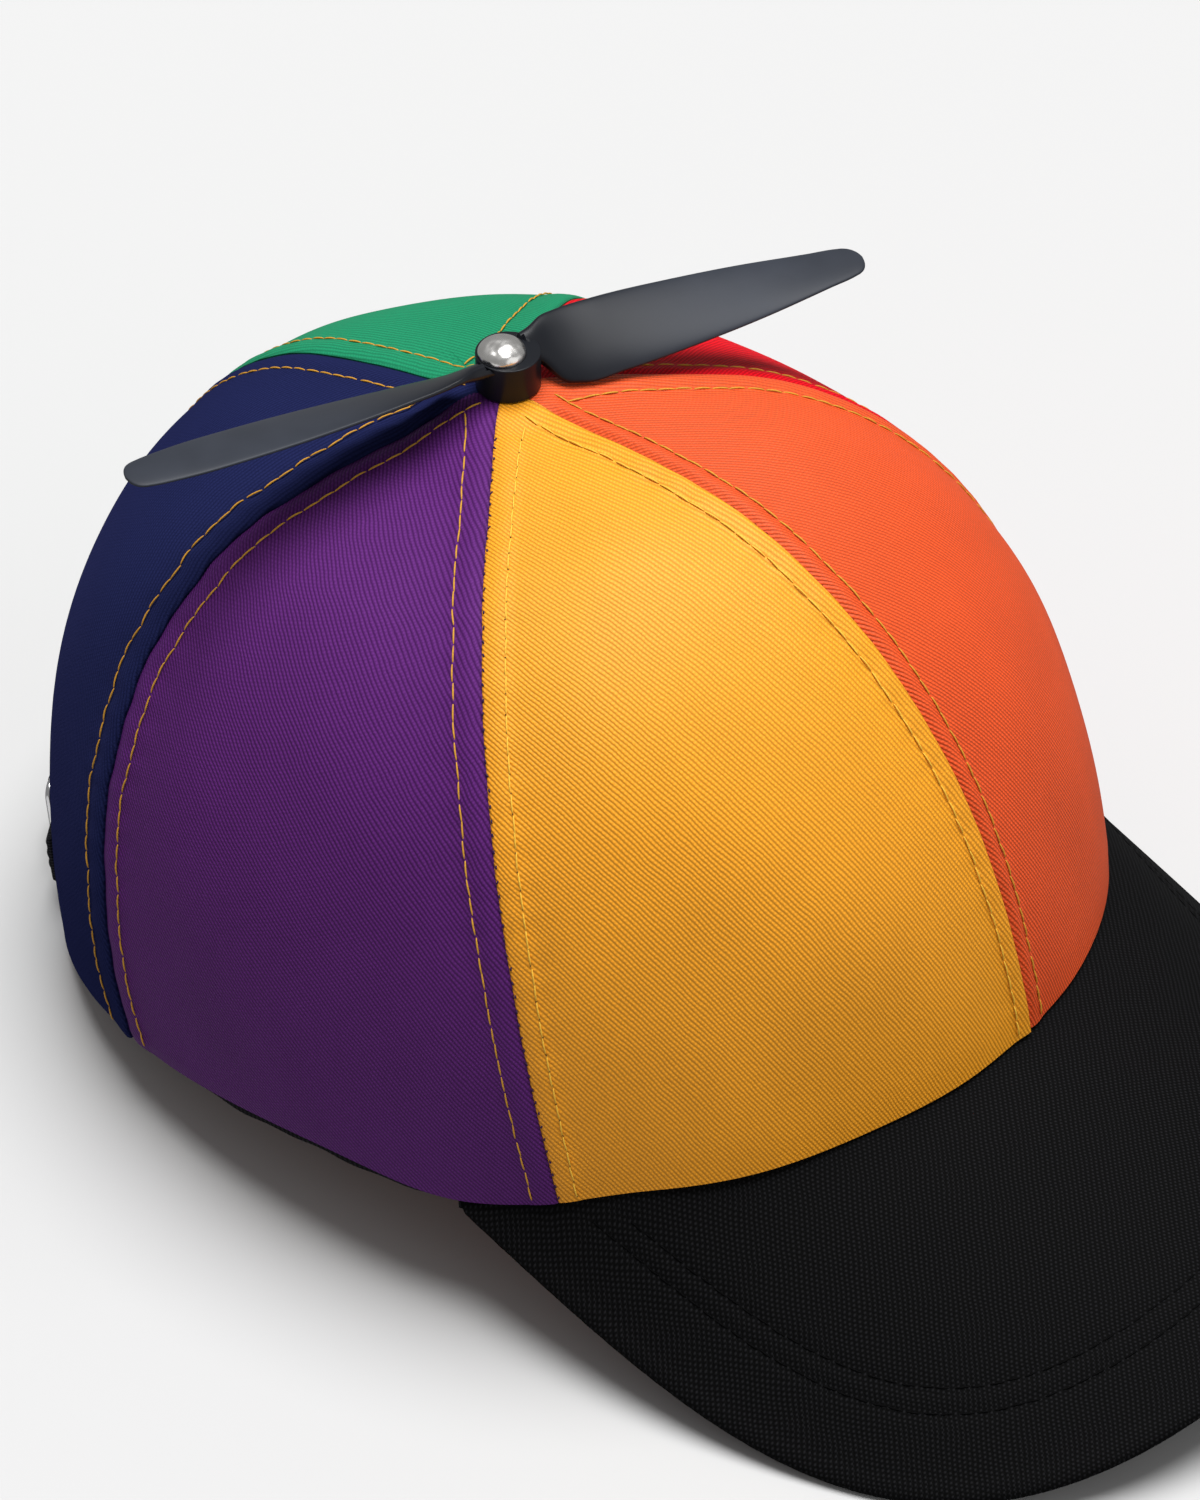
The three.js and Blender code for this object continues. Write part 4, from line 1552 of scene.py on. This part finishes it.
@dataclass
class BackStrap:
    """Webbing strap across the back opening, and the slide buckle that it threads."""

    foot: float = 7.2
    width: float = 10.0
    thick: float = 1.4
    overlap: float = 12.0
    stitch_pitch: float = 2.4
    stitch_inset: float = 2.2
    stitch_box: float = 9.5
    stitch_points: int = 200
    buckle_place: float = -36.0
    buckle_length: float = 18.0
    buckle_height: float = 16.0
    buckle_thick: float = 1.3
    corner: float = 3.0
    corner_points: int = 9
    bar: float = 2.0
    bar_rings: int = 14
    bar_sides: int = 16
    bar_squareness: float = 0.6
    columns: int = 240
    rows: int = 20

    def rise(self, distance: Array) -> Array:
        """Lift of the strap over the buckle's centre bar: a smooth step down to the end bars.

        Args:
            distance: distance along the wall from the back seam.

        Returns:
            Lift in millimetres.
        """
        away = np.abs(distance - self.buckle_place)
        start = self.bar / 2 + FORM.gap
        finish = self.buckle_length / 2 - self.bar - FORM.gap
        full = self.thick + self.buckle_thick + 3 * FORM.gap
        return full * (1 - smoothstep(away, start, finish))

    def build(self) -> None:
        """Make the strap, its end stitching and the buckle."""
        half = FORM.opening_width / 2 + self.overlap
        distance = np.linspace(-half, half, self.columns)[None]
        share = eased(self.rows)[:, None]
        distance, share = np.broadcast_arrays(distance, share)
        height = self.foot + self.width * share
        edge = np.minimum(np.minimum(share, 1 - share) * self.width, half - np.abs(distance))
        roll = edge_roll(edge, self.thick / 2, self.thick / 2)
        base = FORM.gap + self.rise(distance)
        phi = FORM.back_angle(distance)
        outer = FORM.on_table(FORM.wall_point(phi, height, base + self.thick - roll))
        inner = FORM.on_table(FORM.wall_point(phi, height, base + roll))
        cloth = np.stack([distance, height, edge], axis=-1)
        weave = RibbedWeaveFinish(
            "black_strap_webbing", linear(0x07070A), linear(0x2E2E33), rib_pitch=1.2, depth=0.14)
        Piece.wall("back_strap", "back_strap_webbing", (outer, inner), cloth, weave.dress(),
                   "black_cloth").make()
        self.stitch(half)
        self.buckle()

    def stitch(self, half: float) -> None:
        """A boxed row of black stitches where each end of the strap is sewn to the crown.

        Args:
            half: half of the strap's length.
        """
        thread = ThreadFinish("strap_thread", linear(0x0A0A0C), linear(0x38383D))
        run = ThreadRun(self.stitch_pitch, radius=0.22, rise=0.28)
        low, high = self.foot + self.stitch_inset, self.foot + self.width - self.stitch_inset
        tubes = []
        for number, hand in enumerate((-1, 1)):
            near, far = hand * (half - self.stitch_box), hand * (half - self.stitch_inset)
            corners = np.array([(near, low), (far, low), (far, high), (near, high), (near, low)])
            share = np.linspace(0, 4, self.stitch_points)
            distance = np.interp(share, np.arange(5), corners[:, 0])
            height = np.interp(share, np.arange(5), corners[:, 1])
            phi = FORM.back_angle(distance)
            path = FORM.wall_point(phi, height, FORM.gap + self.rise(distance) + self.thick)
            normal = FORM.normal(phi, FORM.wall_place(phi, height))
            tubes.append(run.tubes(path, normal, Seed.STRAP.value + number))
        run.piece("strap_stitching", tubes, thread.dress()).make()

    def buckle(self) -> None:
        """A flat rounded bar carried round a rounded rectangle, and a straight centre bar across it."""
        phi = FORM.back_angle(np.array(self.buckle_place))
        middle = self.foot + self.width / 2
        out = FORM.normal(phi, FORM.wall_place(phi, np.array(middle)))
        steps = FORM.wall_point(phi, np.array([middle - 1, middle + 1]), np.zeros(2))
        up = unit(steps[1] - steps[0])
        basis = np.stack([np.cross(up, out), up, out])
        seat = FORM.wall_point(phi, np.array(middle), np.array(2 * FORM.gap + self.thick))
        path, aside = self.frame_path()
        ring = self.bar_profile()
        frame_points = path[:, None, :] + ring[None, :, :1] * aside[:, None, :]
        frame_points = frame_points + np.array([0, 0, 1]) * ring[None, :, 1:]
        frame_quads = grid_quads(len(path) + 1, len(ring), round_columns=True) % (len(path) * len(ring))
        span = np.linspace(-1, 1, self.bar_rings) * (self.buckle_height / 2 - self.bar)
        bar_points = np.zeros((len(span), len(ring), 3))
        bar_points[..., 0] = ring[:, 0]
        bar_points[..., 1] = span[:, None]
        bar_points[..., 2] = ring[:, 1]
        bar_points = capped(bar_points)
        bar_quads = grid_quads(*bar_points.shape[:2], start=len(path) * len(ring), round_columns=True)
        points = np.concatenate([frame_points.reshape(-1, 3), bar_points.reshape(-1, 3)]) @ basis + seat
        quads = np.concatenate([outward(points, frame_quads), outward(points, bar_quads)])
        steel = PolishedMetalFinish("buckle_steel", (0.78, 0.78, 0.79), (0.55, 0.55, 0.57), 0.16)
        Piece("strap_buckle_steel", points, quads, steel.dress(), slot="polished_steel",
              replaces=("strap_buckle",), weld=WELD, sharp=math.radians(60)).make()

    def frame_path(self) -> tuple[Array, Array]:
        """Middle line of the frame, a rounded rectangle, and the outward direction along it.

        Returns:
            Points and directions, one for each place on the line.
        """
        count = self.corner_points
        turn = np.concatenate([np.linspace(q, q + 1, count) * math.pi / 2 for q in range(4)])
        quarter = np.repeat(np.arange(4), count) * math.pi / 2 + math.pi / 4
        radius = self.corner - self.bar / 2
        x = np.sign(np.cos(quarter)) * (self.buckle_length / 2 - self.corner) + radius * np.cos(turn)
        y = np.sign(np.sin(quarter)) * (self.buckle_height / 2 - self.corner) + radius * np.sin(turn)
        zero = np.zeros_like(turn)
        return np.stack([x, y, zero], axis=-1), np.stack([np.cos(turn), np.sin(turn), zero], axis=-1)

    def bar_profile(self) -> Array:
        """Section of a bar: a superellipse of its width and thickness, standing on the strap.

        Returns:
            Places across the bar and up from the strap.
        """
        turn = around(self.bar_sides)
        across = self.bar / 2 * squared(np.cos(turn), self.bar_squareness)
        deep = self.buckle_thick / 2 * squared(np.sin(turn), self.bar_squareness)
        return np.stack([across, deep + self.buckle_thick / 2], axis=-1)


@dataclass
class Rivet:
    """Domed rivet that pins the propeller: inside flange, shank and polished head."""

    flange_radius: float = 6.0
    pin_radius: float = 1.8
    head_radius: float = 4.2
    rim: float = 0.7
    dome: float = 2.3
    head_height: float = 6.8
    fillet: float = 0.22
    flange_edge: float = 0.2
    dome_points: int = 26
    fillet_points: int = 6
    sides: int = 72

    def profile(self) -> Array:
        """Radius and height up the rivet: straight lines, a filleted edge and a quarter ellipse.

        Returns:
            One radius and height for each point.
        """
        edge, flange = self.flange_edge, FORM.flange_thick
        foot = -FORM.cloth - FORM.gap - flange
        quarter = np.linspace(0, math.pi / 2, self.dome_points)
        corner = np.linspace(-math.pi / 2, 0, self.fillet_points)
        fillet_radius = self.head_radius - self.fillet + self.fillet * np.cos(corner)
        fillet_height = self.head_height + self.fillet + self.fillet * np.sin(corner)
        dome_height = self.head_height + self.rim + self.dome * np.sin(quarter)
        low_edge = np.stack([fillet_radius, fillet_height], axis=-1)
        dome = np.stack([self.head_radius * np.cos(quarter), dome_height], axis=-1)
        dome[-1, 0] = 0
        base = [
            (0, foot), (self.flange_radius - edge, foot), (self.flange_radius, foot + edge),
            (self.flange_radius, foot + flange - edge), (self.flange_radius - edge, foot + flange),
            (self.pin_radius, foot + flange), (self.pin_radius, self.head_height),
        ]
        return np.concatenate([np.array(base), low_edge, dome])

    def build(self) -> None:
        """Turn the profile about the pin's axis."""
        profile = self.profile()
        turn = around(self.sides)
        level = profile[:, None, 0] * np.stack([np.cos(turn), np.sin(turn)])[:, None, :]
        height = np.broadcast_to(profile[:, 1:], level.shape[1:])
        points = FORM.pin + np.stack([level[0], level[1], height], axis=-1)
        steel = PolishedMetalFinish("rivet_steel", (0.9, 0.89, 0.87), (0.7, 0.68, 0.65), 0.24, dent=0.5)
        Piece("rivet_polished", points, grid_quads(*points.shape[:2], round_columns=True), steel.dress(),
              slot="polished_steel", replaces=("rivet",), weld=WELD, sharp=math.radians(40)).make()


@dataclass(frozen=True)
class BladeSection:
    """One section of a blade: its place as a share of the reach, with the pitch in degrees."""

    place: float
    chord: float
    pitch: float
    thick: float
    shift: float = 0.0


@dataclass
class Propeller:
    """Moulded two-bladed propeller, set a little off its pin by the play in its bore."""

    hub_radius: float = 5.7
    hub_height: float = 6.9
    hub_play: float = 1.2
    hub_edge: float = 0.18
    bore: float = 2.3
    recess: float = 4.27
    recess_depth: float = 0.7
    head_room: float = 0.8
    head_clear: float = 0.02
    reach: float = 70.0
    turn: float = math.radians(-25)
    lift: float = 0.8
    camber: float = 0.025
    plate: float = 0.7
    squareness: float = 0.6
    root: float = 0.037
    rings: int = 140
    tip_crowding: float = 1.4
    sides: int = 48
    hub_sides: int = 96
    hub_edge_points: int = 5
    sections: tuple[BladeSection, ...] = (
        BladeSection(0.03, 6.5, 41, 4.4, 0.8),
        BladeSection(0.1, 7, 39, 3.8, 1.8),
        BladeSection(0.135, 12, 37, 2.8, 0.5),
        BladeSection(0.18, 14, 33.5, 2.3),
        BladeSection(0.3, 14.7, 28, 2),
        BladeSection(0.5, 14, 20, 1.7),
        BladeSection(0.7, 12.2, 12.5, 1.5),
        BladeSection(0.88, 9.4, 4.5, 1.3),
        BladeSection(0.955, 7.8, 3, 1.2),
        BladeSection(0.972, 7.1, 2.5, 1.15),
        BladeSection(0.986, 5.7, 2, 1.05),
        BladeSection(0.994, 4, 2, 0.95),
        BladeSection(0.998, 2.4, 2, 0.85),
        BladeSection(1, 0.8, 2, 0.7),
    )

    def blade(self) -> Array:
        """Rings of one blade along +X about the pin.

        Each ring is a bowed plate with round edges: a superellipse of the chord and the thickness, and a
        camber that falls with the square of the distance across, all turned by the pitch.

        Returns:
            Points by ring and side, closed at both ends by a ring drawn to its middle.
        """
        knots = np.array([section.place for section in self.sections])
        place = 1 - (1 - self.root) * (1 - np.linspace(0, 1, self.rings)) ** self.tip_crowding
        chord, pitch, thick, shift = (
            hermite(place, knots, np.array([getattr(section, key) for section in self.sections]))[:, None]
            for key in ("chord", "pitch", "thick", "shift")
        )
        turn, tilt = around(self.sides)[None], np.radians(pitch)
        wide, tall = (squared(wave, self.squareness) for wave in (np.cos(turn), np.sin(turn)))
        across = shift + chord / 2 * wide
        deep = self.plate * thick / 2 * tall + self.camber * chord * (0.5 - wide ** 2)
        x = np.broadcast_to(place[:, None] * self.reach, across.shape)
        y = across * np.cos(tilt) - deep * np.sin(tilt)
        middle = FORM.gap + self.hub_height / 2 + self.lift
        z = middle + across * np.sin(tilt) + deep * np.cos(tilt)
        floor = FORM.gap + self.hub_height - self.recess_depth - self.head_clear
        z = np.where(np.hypot(x, y) < self.recess + self.head_room, np.minimum(z, floor), z)
        return capped(np.stack([x, y, z], axis=-1))

    def hub(self) -> Array:
        """Rings of the hub, round about its own middle outside and about the pin in its bore and recess.

        Returns:
            Points by ring and side, the last ring on the first.
        """
        foot, top = FORM.gap, FORM.gap + self.hub_height
        edge, play = self.hub_edge, self.hub_play
        corner = np.linspace(0, math.pi / 2, self.hub_edge_points)
        inset = self.hub_radius - edge
        low = [(inset + edge * math.sin(a), foot + edge * (1 - math.cos(a)), play) for a in corner]
        high = [(inset + edge * math.cos(a), top - edge * (1 - math.sin(a)), play) for a in corner]
        floor = top - self.recess_depth
        inside = [
            (self.recess, top, 0), (self.recess, floor, 0), (self.bore, floor, 0), (self.bore, foot, 0),
        ]
        radius, height, offset = np.array(low + high + inside + low[:1]).T
        turn = around(self.hub_sides)[None]
        x = radius[:, None] * np.cos(turn) + offset[:, None]
        y = radius[:, None] * np.sin(turn)
        return np.stack([x, y, np.broadcast_to(height[:, None], x.shape)], axis=-1)

    def build(self) -> None:
        """Join the hub and two opposite blades, turned to their place about the pin."""
        hub, blade = self.hub(), self.blade()
        opposite = blade * np.array([-1, -1, 1])
        cosine, sine = math.cos(self.turn), math.sin(self.turn)
        points, quads, start = [], [], 0
        for shell in (hub, blade, opposite):
            x, y, z = shell.reshape(-1, 3).T
            turned = np.stack([cosine * x - sine * y, sine * x + cosine * y, z], axis=-1)
            points.append(turned + FORM.pin)
            quads.append(outward(turned, grid_quads(*shell.shape[:2], round_columns=True)) + start)
            start += len(turned)
        pin_x, pin_y, _ = FORM.to_row(FORM.pin)
        plastic = MouldedPlasticFinish(
            "black_moulding", linear(0x15171C), linear(0x383C45), (pin_x, pin_y))
        Piece("propeller_moulding", np.concatenate(points), np.concatenate(quads), plastic.dress(),
              body=Body.PROPELLER, slot="black_plastic", replaces=("propeller",), weld=WELD,
              sharp=math.radians(50)).make()


@dataclass(frozen=True)
class Lamp:
    """A soft sun: its strength, the side and height it shines from, and the angle that it fills."""

    name: str
    strength: float
    azimuth: float
    elevation: float
    softness: float


@dataclass
class Studio:
    """Pale floor, soft overhead light and the camera."""

    azimuth: float = math.radians(-50.856)
    elevation: float = math.radians(42.041)
    distance: float = 1038.3
    aim_side: float = 16.9
    aim_up: float = -62.85
    lens: float = 144.29
    clip: tuple[float, float] = (0.01, 50.0)
    floor_half: float = 6.0
    floor_tone: float = 0.519
    sky_strength: float = 0.29
    key: Lamp = Lamp("key", 4.45, math.radians(98), math.radians(82), math.radians(40))
    fill: Lamp = Lamp("fill", 0.6, math.radians(12), math.radians(18), math.radians(60))
    wash: Lamp = Lamp("wash", 0.4, math.radians(-85), math.radians(-22), math.radians(60))

    def build(self) -> None:
        """Set the floor, the sky, the lamps and the camera."""
        self.floor()
        self.light()
        self.camera()

    def floor(self) -> None:
        """A wide level sheet under the cap, which leaves the light from below to the wash lamp."""
        half = self.floor_half
        corners = [(-half, -half, 0), (half, -half, 0), (half, half, 0), (-half, half, 0)]
        mesh = bpy.data.meshes.new("floor")
        mesh.from_pydata(corners, [], [(0, 1, 2, 3)])
        tone = (self.floor_tone,) * 3
        mesh.materials.append(Shader("floor_paper").shade(
            Base_Color=(*tone, 1.0), Roughness=1.0, Specular_IOR_Level=0.0,
        ))
        sheet = bpy.data.objects.new("floor", mesh)
        sheet.visible_diffuse = sheet.visible_glossy = sheet.visible_shadow = False
        bpy.context.scene.collection.objects.link(sheet)

    def light(self) -> None:
        """Even pale sky and three soft suns, shown with plain screen colours."""
        bpy.context.scene.view_settings.view_transform = "Standard"
        world = bpy.data.worlds.new("sky")
        bpy.context.scene.world = world
        world.use_nodes = True
        sky = world.node_tree.nodes["Background"]
        sky.inputs["Color"].default_value = (1, 1, 1, 1)
        sky.inputs["Strength"].default_value = self.sky_strength
        for lamp in (self.key, self.fill, self.wash):
            sun = bpy.data.lights.new(lamp.name, "SUN")
            sun.energy = lamp.strength
            sun.angle = lamp.softness
            made = bpy.data.objects.new(lamp.name, sun)
            made.matrix_world = self.turned(lamp.azimuth, lamp.elevation)
            bpy.context.scene.collection.objects.link(made)

    @staticmethod
    def axes(azimuth: float, elevation: float) -> tuple[Array, Array, Array]:
        """Right, up and backward directions of something that looks at the cap from that side.

        Args:
            azimuth: angle round the cap from its front.
            elevation: angle above the table.

        Returns:
            Three unit vectors.
        """
        cosine, sine, level = math.cos(azimuth), math.sin(azimuth), math.cos(elevation)
        right = np.array([cosine, sine, 0])
        back = np.array([sine * level, -cosine * level, math.sin(elevation)])
        return right, np.cross(back, right), back

    def turned(self, azimuth: float, elevation: float, place: Sequence[float] = (0, 0, 0)) -> Matrix:
        """Matrix of a lamp or camera that looks at the cap from that side.

        Args:
            azimuth: angle round the cap from its front.
            elevation: angle above the table.
            place: where it stands, in metres.

        Returns:
            The matrix.
        """
        matrix = np.eye(4)
        matrix[:3, :3] = np.stack(self.axes(azimuth, elevation), axis=-1)
        matrix[:3, 3] = place
        return Matrix(matrix.tolist())

    def camera(self) -> None:
        """Camera at the photograph's angle and distance, aimed beside and below the pin."""
        right, up, back = self.axes(self.azimuth, self.elevation)
        place = FORM.pin + self.aim_side * right + self.aim_up * up + self.distance * back
        lens = bpy.data.cameras.new("camera")
        lens.lens = self.lens
        lens.clip_start, lens.clip_end = self.clip
        camera = bpy.data.objects.new("camera", lens)
        camera.matrix_world = self.turned(self.azimuth, self.elevation, FORM.to_row(place))
        bpy.context.scene.collection.objects.link(camera)
        bpy.context.scene.camera = camera


def main() -> None:
    """Build the cap's sub-assemblies and the studio in order."""
    for assembly in (Crown(), Peak(), Sweatband(), BackStrap(), Rivet(), Propeller(), Studio()):
        assembly.build()
        LOG.info("%s is in place", type(assembly).__name__)


if __name__ == "__main__":
    main()
